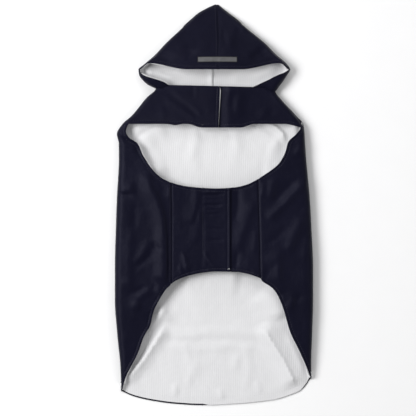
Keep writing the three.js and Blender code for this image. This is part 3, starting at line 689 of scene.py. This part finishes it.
def makeTape(name="greyReflectiveTape", settings=tapeSettings):
    material, tree, shader = newMaterial(name, settings)
    vector = clothVector(tree)
    beads = tree.nodes.new("ShaderNodeTexVoronoi")
    beads.inputs["Scale"].default_value = settings["beads"]
    tree.links.new(vector, beads.inputs["Vector"])
    wear = scaledNoise(tree, vector, 260, 4, (0.5, 1, 1))
    tint = rampBetween(tree, wear, settings["color"], settings["light"], 0.3, 0.7)
    tree.links.new(tint, shader.inputs["Base Color"])
    tree.links.new(mathNode(tree, "ADD", mathNode(tree, "MULTIPLY", wear, 0.2), settings["roughness"] - 0.1),
                   shader.inputs["Roughness"])
    addBump(tree, shader, beads.outputs["Distance"], 0.00008, 0.6)
    return material


def makeThread(name, color, light):
    settings = {"color": color, "roughness": 0.6, "specular": 0.3, "sheen": 0.2}
    material, tree, shader = newMaterial(name, settings)
    twist = scaledNoise(tree, objectVector(tree), 1900, 2, (1, 1, 1))
    tree.links.new(rampBetween(tree, twist, color, light, 0.35, 0.65), shader.inputs["Base Color"])
    addBump(tree, shader, twist, 0.00008, 0.7)
    return material


def makeFloorPaper(name="paleFloor"):
    settings = {
        "color": (0.93, 0.93, 0.935), "dark": (0.92, 0.92, 0.925), "light": (0.94, 0.94, 0.945),
        "roughness": 0.95, "specular": 0.1,
    }
    material, tree, shader = newMaterial(name, settings)
    grain = scaledNoise(tree, objectVector(tree), 30, 2)
    tint = rampBetween(tree, grain, settings["dark"], settings["light"])
    tree.links.new(tint, shader.inputs["Base Color"])
    return material


navy = makeNavy()
whiteMesh = makeLiningCloth()
greyTape = makeTape()
# a near-black finish for the tape's outer ring of faces: painted shadow round its edge
tapeEdgeShadow = makeThread("tapeEdgeShadow", (0.0015, 0.0015, 0.003), (0.003, 0.003, 0.005))
navyThread = makeThread("navyThread", (0.012, 0.012, 0.022), (0.024, 0.024, 0.042))
greyThread = makeThread("greyThread", (0.05, 0.05, 0.06), (0.09, 0.09, 0.1))
whiteThread = makeThread("whiteThread", (0.62, 0.62, 0.63), (0.78, 0.78, 0.79))
print("finishes: made")


# Building a panel: a grid is laid round the tube, its open cells are cut away, and its folds are pushed out.

def gridPanel(sectionRows, columnsAt, pointAt, keep=None):
    spread = [columnsAt(section) for section in sectionRows]
    wide, high = len(spread[0]) - 1, len(sectionRows) - 1
    bm = bmesh.new()
    bmesh.ops.create_grid(bm, x_segments=wide, y_segments=high, size=0.5)
    uv = bm.loops.layers.uv.new("cloth")
    row, column = bm.verts.layers.int.new("row"), bm.verts.layers.int.new("column")
    for v in bm.verts:
        i, j = round((v.co.y + 0.5) * high), round((v.co.x + 0.5) * wide)
        v[row], v[column] = i, j
        v.co = pointAt(sectionRows[i], spread[i][j], j) * mm
    if keep:
        cut = [f for f in bm.faces if not keep(min(v[row] for v in f.verts), min(v[column] for v in f.verts))]
        bmesh.ops.delete(bm, geom=cut, context="FACES")
    bmesh.ops.reverse_faces(bm, faces=bm.faces)
    for f in bm.faces:
        for corner in f.loops:
            i, j = corner.vert[row], corner.vert[column]
            corner[uv].uv = (spread[i][j] * mm, sectionRows[i].up * mm)
    bm.normal_update()
    return bm, row, column, spread


def pushOut(bm, amountAt):
    # moves every point out along the cloth's own normal, by millimetres, and never below the floor
    bm.normal_update()
    moves = [(v, v.normal.copy() * amountAt(v) * mm) for v in bm.verts]
    for v, move in moves:
        v.co += move
        v.co.z = max(v.co.z, 0)
    bm.normal_update()


def drawIn(bm, insetAt, lifts=0):
    # draws the free edge in along the cloth, or out and up over the shell's edge where the inset is negative
    moves = []
    for v in bm.verts:
        if not v.is_boundary:
            continue
        inward = Vector()
        for e in v.link_edges:
            if not e.is_boundary:
                inward += (e.other_vert(v).co - v.co).normalized()
        if inward.length == 0:
            inward = v.link_faces[0].calc_center_median() - v.co
        inset = insetAt(v)
        moves.append((v, (inward.normalized() * inset + Vector((0, 0, max(-inset, 0) * lifts))) * mm))
    for v, move in moves:
        v.co += move
    bm.normal_update()


def objectFrom(bm, name, material):
    mesh = bpy.data.meshes.new(name)
    bm.to_mesh(mesh)
    bm.free()
    mesh.materials.append(material)
    mesh.shade_smooth()
    made = bpy.data.objects.new(name, mesh)
    bpy.context.scene.collection.objects.link(made)
    return made


def finishPiece(bm, name, material, wall=None, edge=0.35, replaced=(), layers=()):
    for layer in layers:
        bm.verts.layers.int.remove(bm.verts.layers.int[layer])
    piece = objectFrom(bm, name, material)
    if wall:
        thicken = piece.modifiers.new("wall", "SOLIDIFY")
        thicken.thickness = wall * mm
        thicken.offset = -1
        thicken.use_even_offset = False
        rounded = piece.modifiers.new("edge", "BEVEL")
        rounded.width = edge * mm
        rounded.segments = 2
        rounded.limit_method = "ANGLE"
        rounded.angle_limit = radians(55)
        rounded.use_clamp_overlap = True
    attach(piece, "root")
    if replaced:
        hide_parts(*replaced)
    print("piece:", name, len(piece.data.polygons), "faces")
    return piece


# Body: back, sides and both halves of the chest band, in one.

body = {
    "rows": ((-236, -120, 46, True, False), (-120, 28, 50, False, False), (28, 102.6, 28, False, True),
             (102.6, 146.85, 12, True, False)),
    "chest": 30, "front": 18, "fold": 14, "back": 92, "ease": 6,
    "wall": 0.9, "liningGap": 0.35, "liningWall": 0.6, "tuck": 1.4, "tuckDepth": 1,
    # where the lining shows round an edge: its reach, and from, rise, to and fall along the coat
    "inset": 0.9, "rimLift": 0.7, "rimLeft": 1.9, "rimRight": 1.8, "legsLeft": (40, 8, 82, 6),
    "rearLeft": (-230, 5, -200, 6), "rearRight": (-222, 5, -163, 6),
    "hemShows": 1.9, "hemCovers": -0.3, "hemCovered": (-16, 12, 116, 8),
}
lining = {"folds": 1.5, "rest": 0.7, "uneven": 1.1, "most": 9}  # how it stands off the shell


def bandLap(up):
    share = clamp((up - coat["band"]) / (coat["neck"] - coat["band"]))
    return mix(coat["bandLapLow"], coat["bandLapHigh"], share), mix(0.1, 1.1, share)


def makeBodySections():
    rows = []
    # the last row runs on a little way under the hood's neck seam
    for up in rowsThrough(*body["rows"]) + [coat["neck"] + body["tuck"]]:
        section = Section(up)
        section.edge = {side: section.girthToEdge(opening[side], side) for side in (-1, 1)}
        lap, shows = bandLap(up)
        section.lapGirth = section.girthTo(lap, -1)
        section.lapShows = shows
        section.underX = lap + shows
        rows.append(section)
    return rows


def bodyColumns(section):
    left = sideColumns(section, abs(section.edge[-1]), body["front"], body["fold"])
    right = sideColumns(section, abs(section.edge[1]), body["front"], body["fold"])
    lapEdge = section.lapGirth
    leftChest = [lapEdge + step for step in hemSteps[:-1]]
    leftChest += stops(lapEdge + hemSteps[-1], section.edge[-1], body["chest"])
    clear = section.girthTo(section.underX + coat["lapEase"], 1)
    rightChest = [section.girthTo(coat["bandUnder"], 1)]
    rightChest += stops(section.girthTo(section.underX, 1), clear, body["ease"])
    rightChest += stops(clear, section.edge[1], body["chest"])
    leftSide = leftChest + [-girth for girth in left]
    rightSide = [section.flat] + [girth for girth in reversed(right)] + list(reversed(rightChest))
    return leftSide + stops(-section.flat, section.flat, body["back"]) + rightSide


bodySections = makeBodySections()
bandRow = next(i for i, section in enumerate(bodySections) if abs(section.up - coat["band"]) < 1e-6)
hemCount = len(hemSteps) - 1
leftChestCount = hemCount + body["chest"]
rightChestCount = 1 + body["ease"] + body["chest"]
bodyWide = len(bodyColumns(bodySections[0])) - 1
lapDepth = 2 * coat["layerGap"] + coat["shellWall"] + coat["liningWall"]


def bodyPoint(section, girth, j):
    return section.point(girth, (section.underX, lapDepth) if girth > 0 else None)


def isBody(i, j):
    return i >= bandRow or leftChestCount <= j < bodyWide - rightChestCount


def seamPull(off, along, seed):
    # a seam sinks, and the cloth beside it is gathered into small puckers
    gathered = 0.34 * exp(-off / 4.5) * softNoise(along, off * 0.35, 3.4, seed)
    return gathered - 0.7 * exp(-((off / 1.3) ** 2))


def clothLife(x, y, seed):
    # the soft unevenness of cloth that has been folded and laid out again
    broad = 0.5 * softNoise(x, y * 0.7, 30, seed)
    middling = 0.22 * softNoise(x * 1.3 + y * 0.4, y - x * 0.3, 12, seed + 3)
    fine = 0.06 * softNoise(x, y, 4.5, seed + 7)
    return broad + middling + fine


def bodyFolds(section, girth, x, y):
    front = section.frontShare(girth)
    onBack = ease((section.flat - abs(girth)) / 9)
    resting = min(0, backFolds.at(x, y) - 0.25 + 0.6 * clothLife(x, y, 21.0))
    return front * (frontFolds.at(x, y) + clothLife(x, y, 1.0)) + onBack * resting


def bodyTrim(section, girth, x, y):
    # what the hems and seams add to the folds
    side = 1 if girth > 0 else -1
    inEdge = abs(section.edge[side]) - abs(girth)  # beyond the edge of an opening it is negative
    onBack = ease((section.flat - abs(girth)) / 9)
    total = 0
    seamLow, seamHigh = bellySeam[side]
    if section.up < coat["band"]:
        if seamLow < y < seamHigh:
            total += seamPull(max(inEdge, 0), y, 5.0 * side)
        elif inEdge >= 0:
            total += hemRoll(inEdge, x - y)
    elif inEdge < 0:
        total += hemRoll(section.up - coat["band"], x)
    total += hemRoll(section.up - coat["hemCorner"]) * (1 - onBack)
    total += seamPull(abs(coat["neck"] - section.up), x, 9.0) * (1 - onBack)
    if section.up > coat["neck"]:
        total -= body["tuckDepth"]
    if side < 0 and section.up > coat["band"]:
        total += hemRoll(abs(section.lapGirth) - abs(girth)) * 0.8
    return total


def makeBodyCloth():
    bm, row, column, spread = gridPanel(bodySections, bodyColumns, bodyPoint, isBody)

    def relief(v):
        section, girth = bodySections[v[row]], spread[v[row]][v[column]]
        x, y = v.co.x / mm, v.co.y / mm
        return bodyFolds(section, girth, x, y) + bodyTrim(section, girth, x, y)

    lining = bm.copy()
    pushOut(bm, relief)
    finishPiece(bm, "bodyShell", navy, body["wall"], replaced=["body_shell"],
                layers=("row", "column"))
    return lining, spread


def liningInset(section, girth, x, y):
    # how far the lining stays inside the shell's edge, or shows beyond it where that is negative
    if section.up >= coat["neck"] - 0.5:
        return 0
    if section.up > coat["band"] and girth < 0 and abs(girth) > abs(section.lapGirth) - 0.01:
        return -section.lapShows
    if section.up <= coat["hemCorner"] + 0.01:
        return 0
    if girth < 0:
        shown = max(between(y, *body["legsLeft"]), between(y, *body["rearLeft"]))
        return body["inset"] - body["rimLeft"] * shown
    return body["inset"] - body["rimRight"] * between(y, *body["rearRight"])


def liningStand(x, y, seed):
    folded = lining["folds"] * liningFolds.at(x, y)
    return clamp(folded + lining["rest"] + lining["uneven"] * clothLife(x, y, seed), 0, lining["most"])


def makeBodyLining(bm, spread):
    row, column = bm.verts.layers.int["row"], bm.verts.layers.int["column"]
    deep = body["wall"] + body["liningGap"]
    tucked = [v for v in bm.verts if v[row] == len(bodySections) - 1]
    bmesh.ops.delete(bm, geom=tucked, context="VERTS")
    for v in bm.verts:
        # the navy hem shows to the left of the middle and at the right corner, and is covered between
        near = clamp(1 - (bodySections[v[row]].up - coat["hemCorner"]) / hemSteps[-1])
        covered = between(v.co.x / mm, *body["hemCovered"])
        v.co.y += near * mix(body["hemShows"], body["hemCovers"], covered) * mm

    def inset(v):
        section, girth = bodySections[v[row]], spread[v[row]][v[column]]
        return liningInset(section, girth, v.co.x / mm, v.co.y / mm)

    def sink(v):
        section, girth = bodySections[v[row]], spread[v[row]][v[column]]
        x, y = v.co.x / mm, v.co.y / mm
        onBack = ease((section.flat + 4 - abs(girth)) / 9)
        atHem = ease((section.up - coat["hemCorner"]) / 9)
        follows = bodyFolds(section, girth, x, y) + min(bodyTrim(section, girth, x, y), 0)
        return follows - deep - liningStand(x, y, 41.0) * onBack * mix(0.25, 1, atHem)

    pushOut(bm, sink)
    drawIn(bm, inset, body["rimLift"])
    return finishPiece(bm, "bodyLining", whiteMesh, body["liningWall"], 0.2,
                       replaced=["body_lining"], layers=("row", "column"))


liningGrid, bodySpread = makeBodyCloth()
makeBodyLining(liningGrid, bodySpread)


# Belly flaps: two panels between the belly seams. The left one ends over the right one.

flaps = {
    "lapX": 20.6, "underX": -17, "placketX": -14.1, "placketSewn": (-66, 6, 2, 6), "wide": 75, "long": 118,
    "across": 34, "along": 70, "wall": 1.3, "dip": 1.9, "dipEase": 36, "tuck": 1.6, "tuckDepth": 1.3,
}


def seamLineX(side, up):
    return opening[side](clamp(up, *bellySeam[side])) - side * coat["seamGap"]


def flapRelief(x, y, seamX, freeX, bottom, top):
    total = frontFolds.at(x, y) + clothLife(x, y, 1.0)
    total += seamPull(abs(x - seamX), y, 5.0 if seamX > 0 else -5.0)
    total += hemRoll(y - bottom, x) + hemRoll(top - y, x)
    if freeX is not None:
        total += hemRoll(freeX - x)
        # the placket under the free end is a doubled strip with its own row of stitches
        total -= 0.3 * exp(-(((x - flaps["placketX"]) / 0.8) ** 2)) * between(y, *flaps["placketSewn"])
        total += 0.35 * ease((x - flaps["placketX"]) / 2)
    return total


def makeFlap(name, side):
    # at its seam a flap runs on a little way under the body's edge
    tuck = flaps["tuck"]
    left = (lambda up: seamLineX(-1, up) - tuck) if side < 0 else (lambda up: flaps["underX"])
    right = (lambda up: flaps["lapX"]) if side < 0 else (lambda up: seamLineX(1, up) + tuck)
    across = hemmedShares(flaps["wide"], flaps["across"])
    along = hemmedShares(flaps["long"], flaps["along"])
    bm = bmesh.new()
    bmesh.ops.create_grid(bm, x_segments=len(across) - 1, y_segments=len(along) - 1, size=0.5)
    uv = bm.loops.layers.uv.new("cloth")
    flat = {}
    for v in bm.verts:
        t = across[round((v.co.x + 0.5) * (len(across) - 1))]
        u = along[round((v.co.y + 0.5) * (len(along) - 1))]
        x = mix(left(0), right(0), t)
        bottom, top = flapBottom(x), flapTop(x)
        y = mix(bottom, top, u)
        x = mix(left(y), right(y), t)
        z = Section(y).frontHeight(x)
        if side > 0:
            z -= flaps["dip"] * (1 - ease((x - flaps["lapX"]) / flaps["dipEase"]))
        seamX = seamLineX(side, y)
        z += flapRelief(x, y, seamX, right(y) if side < 0 else None, bottom, top)
        z -= flaps["tuckDepth"] * ease(((x - seamX) * side + 0.5) / 1.1)
        v.co = Vector((x, y, z)) * mm
        flat[v] = v.co.xy
    for f in bm.faces:
        for corner in f.loops:
            corner[uv].uv = flat[corner.vert]
    bm.normal_update()
    return finishPiece(bm, name, navy, flaps["wall"],
                       replaced=["belly_flap_left" if side < 0 else "belly_flap_right"])


makeFlap("bellyFlapLeft", -1)
makeFlap("bellyFlapRight", 1)


# Hood: two halves that meet in a seam over the crown and another at the nape, with the face left open.

hood = {
    "rows": ((147.15, 171.5, 10, False, False), (171.5, 205, 12, True, False), (205, 254, 22, False, False)),
    "liningTop": 205,
    "crown": 30, "front": 12, "fold": 12, "nape": 26, "wall": 0.9, "liningGap": 0.35, "liningWall": 0.6,
    "crownLining": 9.5, "meet": 0.08, "rimLift": 1, "seamSteps": [0, 0.5, 1.1, 1.9, 3, 4.6],
    "napeSteps": [0, 0.9, 1.9, 2.8, 3.6, 4.4, 5.3, 6.4, 7.8],
    "inset": 0.8, "rimFace": 1.7, "rimBrim": 1.5, "atFace": (151, 3, 168, 3), "atBrim": (-83, 4, -58, 8),
}
hoodSections = [Section(up) for up in rowsThrough(*hood["rows"])]
brimRow = next(i for i, section in enumerate(hoodSections) if abs(section.up - coat["brim"]) < 1e-6)
liningRow = next(i for i, section in enumerate(hoodSections) if abs(section.up - hood["liningTop"]) < 1e-6)
hoodSide = hemCount + hood["front"] + hood["fold"]
hoodWide = hood["crown"] + hoodSide + hood["nape"]


def hoodColumns(side):
    def columns(section):
        # the halves meet a hair beyond the seam, so that no light comes through it
        seam = section.girthTo(crownSeamX(section.up) - side * hood["meet"], side)
        nape = napeSeamX(section.up) - side * hood["meet"] - section.middle
        edge = section.girthTo(faceEdge[side](section.up), side)
        section.hoodEdge = {**getattr(section, "hoodEdge", {}), side: abs(edge)}
        section.hoodSeam = {**getattr(section, "hoodSeam", {}), side: abs(seam)}
        half = [side * girth for girth in sideColumns(section, abs(edge), hood["front"], hood["fold"])]
        close = [seam - side * step * clamp(section.flat / 12) for step in hood["seamSteps"]]
        crown = close[:-1] + stops(close[-1], edge, hood["crown"] - len(close) + 1)
        near = [nape + side * step * clamp(section.flat / 12) for step in hood["napeSteps"]]
        inner = stops(side * section.flat, near[-1], hood["nape"] - len(near) + 1)
        across = crown + half + inner + near[::-1]
        return across if side < 0 else across[::-1]
    return columns


def fromCrown(side, j):
    # columns are counted from the crown seam on both halves
    return j if side < 0 else hoodWide - 1 - j


def hoodCreases(section, girth, x, y):
    narrow = clamp(section.flat / 20)
    onBack = ease((section.flat - abs(girth)) / 9)
    resting = min(0, backFolds.at(x, y) - 0.2 + 0.5 * clothLife(x, y, 81.0))
    inFront = section.frontShare(girth) * narrow * (hoodFolds.at(x, y) + clothLife(x, y, 61.0))
    return inFront + onBack * resting


def hoodTrim(section, side, girth, x, y):
    front = section.frontShare(girth)
    far = abs(girth)
    onBack = ease((section.flat - far) / 9)
    total = 0
    inEdge = section.hoodEdge[side] - far
    if section.up < coat["brim"]:
        if inEdge >= 0:
            total += hemRoll(inEdge, x - y)
        total += seamPull(section.up - coat["neck"], x, 9.0) * (1 - onBack)
    elif far > section.flat:
        total += hemRoll(section.up - coat["brim"], x) * front
    # the left half laps over the crown seam, so the right one starts lower there, except near the brim
    crownOff = max(section.hoodSeam[side] - far, 0)
    gathered = 0.3 * exp(-crownOff / 4.5) * softNoise(y, crownOff * 0.35, 3.4, 13.0)
    step = mix(0.2, 0.9, ease((y - 196) / 9)) * exp(-((crownOff / 3.4) ** 2)) if side > 0 else 0
    groove = 0.2 * exp(-((crownOff / 1.1) ** 2))
    total += (gathered - step - groove) * clamp(section.flat / 14) * front if section.up > coat["brim"] else 0
    return total


def makeHoodHalf(side):
    word = "Left" if side < 0 else "Right"

    def isHood(i, j):
        return i >= brimRow or fromCrown(side, j) >= hood["crown"]

    def hoodPoint(section, girth, j):
        # at the very tip the front and the back come together
        spot = section.point(girth)
        spot.z = mix(spot.z, 1.2, 0.6 * ease((section.up - 251) / 3))
        return spot

    bm, row, column, spread = gridPanel(hoodSections, hoodColumns(side), hoodPoint, isHood)

    def relief(v):
        section, girth = hoodSections[v[row]], spread[v[row]][v[column]]
        x, y = v.co.x / mm, v.co.y / mm
        return hoodCreases(section, girth, x, y) + hoodTrim(section, side, girth, x, y)

    lining = bm.copy()
    pushOut(bm, relief)
    finishPiece(bm, "hood" + word, navy, hood["wall"],
                replaced=["hood_left" if side < 0 else "hood_right"], layers=("row", "column"))
    return lining, spread


def hoodInset(section, side, girth, x, y):
    if section.up <= coat["neck"] + 0.2:
        return 0
    if abs(girth) > section.flat and section.up < coat["brim"] - 0.1:
        # the lining rolls out a little along the lower left of the face opening
        shown = between(y, *hood["atFace"]) if side < 0 else 0
        return hood["inset"] - hood["rimFace"] * shown
    if abs(section.up - coat["brim"]) < 0.01:
        return hood["inset"] - hood["rimBrim"] * max(between(x, *hood["atBrim"]), ease((x - 86) / 5))
    return hood["inset"]


def makeHoodLining(bm, side, spread):
    # it goes round the sides up to the brim, up the nape, and a little way in under the crown
    row, column = bm.verts.layers.int["row"], bm.verts.layers.int["column"]
    word = "Left" if side < 0 else "Right"

    def isLined(f):
        i, j = min(v[row] for v in f.verts), min(v[column] for v in f.verts)
        isNape = fromCrown(side, j) >= hoodWide - hood["nape"]
        return i < liningRow and (isNape or hoodSections[i].up < coat["brim"] + hood["crownLining"])

    bmesh.ops.delete(bm, geom=[f for f in bm.faces if not isLined(f)], context="FACES")
    bm.normal_update()
    seamColumn = hoodWide if side < 0 else 0

    def inset(v):
        section, girth = hoodSections[v[row]], spread[v[row]][v[column]]
        return 0 if v[column] == seamColumn else hoodInset(section, side, girth, v.co.x / mm, v.co.y / mm)

    def sink(v):
        section, girth = hoodSections[v[row]], spread[v[row]][v[column]]
        x, y = v.co.x / mm, v.co.y / mm
        onBack = ease((section.flat + 3 - abs(girth)) / 8)
        follows = hoodCreases(section, girth, x, y) + min(hoodTrim(section, side, girth, x, y), 0)
        return follows - (hood["wall"] + hood["liningGap"]) - liningStand(x, y, 91.0) * onBack

    pushOut(bm, sink)
    drawIn(bm, inset, hood["rimLift"])
    finishPiece(bm, "hoodLining" + word, whiteMesh, hood["liningWall"], 0.2,
                replaced=["hood_lining_left" if side < 0 else "hood_lining_right"], layers=("row", "column"))


for side in (-1, 1):
    hoodGrid, hoodSpread = makeHoodHalf(side)
    makeHoodLining(hoodGrid, side, hoodSpread)


# What lies on the coat is set onto its finished surface, found by a ray from above.

def surfaceOf(*names):
    shapes = bpy.context.evaluated_depsgraph_get()
    trees = []
    for name in names:
        bm = bmesh.new()
        bm.from_object(bpy.data.objects[name], shapes)
        trees.append(BVHTree.FromBMesh(bm))
        bm.free()
    return trees


def landOn(trees, x, y):
    start = Vector((x, y, 0.1))
    way = Vector((0, 0, -1))
    hits = [tree.ray_cast(start, way) for tree in trees]
    hits = [hit for hit in hits if hit[0]]
    if not hits:
        return None
    spot, normal, _, _ = min(hits, key=lambda hit: (hit[0] - start).length)
    return spot, normal if normal.dot(way) < 0 else -normal


tape = {
    "left": -20.8, "right": 29.4, "low": 180.4, "high": 187.6, "wall": 0.45, "lift": 0.22,
    "across": 62, "along": 9, "bridge": (-2.4, -1.2, 0, 1.2, 2.4),
}


def makeReflectiveTape():
    crown = surfaceOf("hoodLeft", "hoodRight")
    bm = bmesh.new()
    bmesh.ops.create_grid(bm, x_segments=tape["across"], y_segments=tape["along"], size=0.5)
    uv = bm.loops.layers.uv.new("cloth")
    for v in bm.verts:
        u, w = v.co.x + 0.5, v.co.y + 0.5
        x = mix(tape["left"], tape["right"], u)
        y = mix(tape["low"], tape["high"], w) + 0.25 * sin(pi * u)
        v.co.x, v.co.y = x * mm, y * mm
    for f in bm.faces:
        for corner in f.loops:
            corner[uv].uv = corner.vert.co.xy
    heights = {}
    for v in bm.verts:
        # it bridges the seam, so its height is the mean of what lies around it
        around = [landOn(crown, v.co.x + dx * mm, v.co.y) for dx in tape["bridge"]]
        around = [hit[0].z for hit in around if hit]
        heights[v] = max(sum(around) / len(around), around[len(around) // 2])
    for v in bm.verts:
        v.co.z = heights[v] + (tape["lift"] + tape["wall"]) * mm
    bm.normal_update()
    for f in bm.faces:
        # the outermost ring of faces gets a near-black finish, a painted shadow round the tape's edge
        f.material_index = int(any(v.is_boundary for v in f.verts))
    piece = finishPiece(bm, "hoodReflector", greyTape, tape["wall"], 0.15,
                        replaced=["hood_reflector"])
    piece.data.materials.append(tapeEdgeShadow)


makeReflectiveTape()


# Stitches: short raised threads along each sewn line, every line one joined mesh.

stitches = {
    "pitch": 3.1, "length": 2.2, "wide": 0.42, "high": 0.34, "sink": 0.06, "steepest": 1.6,
    "besideSeam": 2.2, "besideLap": 2, "overHem": 7.6,
}


def resample(points, pitch):
    spots, left = [], pitch / 2
    for a, b in zip(points, points[1:]):
        run = hypot(b[0] - a[0], b[1] - a[1])
        while left <= run:
            t = left / run
            spots.append((mix(a[0], b[0], t), mix(a[1], b[1], t), atan2(b[1] - a[1], b[0] - a[0])))
            left += pitch
        left -= run
    return spots


def makeStitches(name, material, lines, trees):
    bm = bmesh.new()
    count = 0
    reach = stitches["length"] / 2 * mm
    for line in lines:
        for x, y, heading in resample(line, stitches["pitch"]):
            dx, dy = cos(heading) * reach, sin(heading) * reach
            ends = [landOn(trees, x * mm + way * dx, y * mm + way * dy) for way in (-1, 1)]
            middle = landOn(trees, x * mm, y * mm)
            if not middle or not all(ends):
                continue
            if abs(ends[0][0].z - ends[1][0].z) > stitches["steepest"] * mm:
                continue
            along = (ends[1][0] - ends[0][0]).normalized()
            up = middle[1]
            across = up.cross(along).normalized()
            made = bmesh.ops.create_uvsphere(bm, u_segments=6, v_segments=4, radius=1)
            for v in made["verts"]:
                p = v.co.copy()
                # the sphere's poles are the two ends of the thread, and they dive into the cloth
                bend = 1 - abs(p.z) ** 2.2
                raised = p.y * stitches["high"] / 2 + 0.1 * bend - stitches["sink"]
                v.co = (middle[0] + along * (p.z * reach) + across * (p.x * stitches["wide"] / 2 * mm)
                        + up * (raised * mm))
            count += 1
    bmesh.ops.recalc_face_normals(bm, faces=bm.faces)
    finishPiece(bm, name, material)
    print("stitches:", name, count)


def openingLine(side, low, high, off, step=2.0):
    # along the free edge of the body at one side, a little way in from it
    points = []
    up = low
    while up <= high:
        slope = (opening[side](up + 1) - opening[side](up - 1)) / 2
        reach = hypot(1, slope)
        points.append((opening[side](up) + side * off / reach, up - side * off * slope / reach))
        up += step
    return points


def bandLine(up, xFrom, xTo, side, step=3.0):
    # along the lower edge of the chest band, which is the section at its height
    points = []
    section = Section(up)
    x = xFrom
    while (xTo - x) * side >= 0:
        points.append((x, section.placeUp(x, True)))
        x += step * side
    return points


def brimLine(side, off, step=3.0):
    section = Section(coat["brim"] + off)
    seam, edge = crownSeamX(section.up) + side, faceEdge[side](section.up) - side * 2
    points = []
    x = seam
    while (edge - x) * side >= 0:
        points.append((x, section.placeUp(x, True)))
        x += step * side
    return points


def hemInside(off, low, high, step=3.0):
    section = Section(coat["hemCorner"] + off)
    count = ceil((high - low) / step)
    xs = [mix(low, high, i / count) for i in range(count + 1)]
    return [(x, section.placeUp(x, False)) for x in xs]


def flapLine(edgeAt, off, low, high):
    return [(x, edgeAt(x) + off) for x in range(low, high, 3)]


def seamLine(side, low, high):
    return [(seamLineX(side, y) + side * stitches["besideSeam"], y) for y in range(low, high, 3)]


shellTop = surfaceOf("bodyShell", "bellyFlapLeft", "bellyFlapRight")
hoodTop = surfaceOf("hoodLeft", "hoodRight")
liningTop = surfaceOf("bodyLining")
lapLine = [(bandLap(up)[0] - stitchLine, up) for up in range(107, 147, 3)]
navyLines = [
    openingLine(-1, 32, 101, stitchLine), openingLine(1, 36, 101, stitchLine),
    openingLine(-1, -222, -103, stitchLine), openingLine(1, -208, -97, stitchLine),
    bandLine(coat["band"] + stitchLine, 4, -106, -1), bandLine(coat["band"] + stitchLine, 10, 104, 1),
    lapLine,
    flapLine(flapBottom, stitchLine, -53, 18), flapLine(flapBottom, stitchLine, 24, 59),
    flapLine(flapTop, -stitchLine, -53, 18), flapLine(flapTop, -stitchLine, 24, 56),
    [(flaps["lapX"] - stitches["besideLap"], y) for y in range(-83, 22, 3)],
    [(flaps["placketX"], y) for y in range(-62, 0, 3)],
    seamLine(-1, -98, 28), seamLine(1, -92, 32),
]
makeStitches("shellStitches", navyThread, navyLines, shellTop)
makeStitches("hoodStitches", navyThread, [
    brimLine(-1, stitchLine), brimLine(1, stitchLine),
    [(crownSeamX(up) - stitches["besideSeam"], up + 2) for up in range(174, 250, 3)],
], hoodTop)
makeStitches("hemStitches", whiteThread, [
    hemInside(stitches["overHem"], -104, 108),
], liningTop)


# Bartacks: dense bars of thread at the lower end of the belly's free edge and on the chest band.

bartack = {"pitch": 0.34, "reach": 0.62, "thick": 0.19, "high": 0.17, "lift": 0.05}


def makeBartack(name, x, y, length, heading, material):
    bm = bmesh.new()
    spots = round(length / bartack["pitch"])
    for k in range(spots):
        along = (k / (spots - 1) - 0.5) * length
        cx, cy = x + cos(heading) * along, y + sin(heading) * along
        spot, up = landOn(shellTop, cx * mm, cy * mm)
        made = bmesh.ops.create_uvsphere(bm, u_segments=6, v_segments=4, radius=1)
        across = Vector((-sin(heading), cos(heading), 0))
        forth = Vector((cos(heading), sin(heading), 0))
        for v in made["verts"]:
            p = v.co.copy()
            flat = across * p.z * bartack["reach"] + forth * p.x * bartack["thick"]
            v.co = spot + (flat + up * (p.y * bartack["high"] + bartack["lift"])) * mm
    bmesh.ops.recalc_face_normals(bm, faces=bm.faces)
    finishPiece(bm, name, material)


makeBartack("bartackBelly", 18.7, -81, 1.9, 0.2, whiteThread)
makeBartack("bartackChest", -14.9, 101.3, 1.5, 0.0, greyThread)
print("sewing: done")


# Stage: a plain pale floor, soft light from both sides and above, and the camera straight over the coat.

stage = {
    "floorHalf": 3.0, "viewWide": 528.3, "viewX": -7.6, "viewY": -3.8, "cameraHeight": 5, "sensor": 36,
    "sky": 0.26,
}
lights = table("name spot wide deep power", [
    ("keySoftbox", (-1.35, 0.35, 1.5), 1.2, 0.9, 39),
    ("rightSoftbox", (1.5, 0.1, 1.35), 1.5, 1.1, 6),
    ("farSoftbox", (0.1, 1.7, 1.5), 1.6, 0.9, 9),
    ("nearFill", (0, -1.8, 1.4), 1.8, 0.8, 4),
])


def makeFloor():
    bm = bmesh.new()
    bmesh.ops.create_grid(bm, x_segments=8, y_segments=8, size=stage["floorHalf"])
    objectFrom(bm, "floor", makeFloorPaper())


def makeLight(name, spot, wide, deep, power):
    data = bpy.data.lights.new(name, "AREA")
    data.shape = "RECTANGLE"
    data.size, data.size_y, data.energy = wide, deep, power
    light = bpy.data.objects.new(name, data)
    light.location = spot
    light.rotation_euler = (-Vector(spot)).to_track_quat("-Z", "Y").to_euler()
    bpy.context.scene.collection.objects.link(light)


def makeStage():
    makeFloor()
    world = bpy.data.worlds.new("studio")
    world.use_nodes = True
    world.node_tree.nodes["Background"].inputs["Color"].default_value = (1, 1, 1, 1)
    world.node_tree.nodes["Background"].inputs["Strength"].default_value = stage["sky"]
    bpy.context.scene.world = world
    for light in lights:
        makeLight(**light)
    camera = bpy.data.objects.new("camera", bpy.data.cameras.new("camera"))
    camera.data.sensor_width = stage["sensor"]
    camera.data.lens = stage["sensor"] * stage["cameraHeight"] / (stage["viewWide"] * mm)
    camera.location = (stage["viewX"] * mm, stage["viewY"] * mm, stage["cameraHeight"])
    bpy.context.scene.collection.objects.link(camera)
    bpy.context.scene.camera = camera
    bpy.context.scene.view_settings.view_transform = "Standard"


makeStage()
print("stage: made")
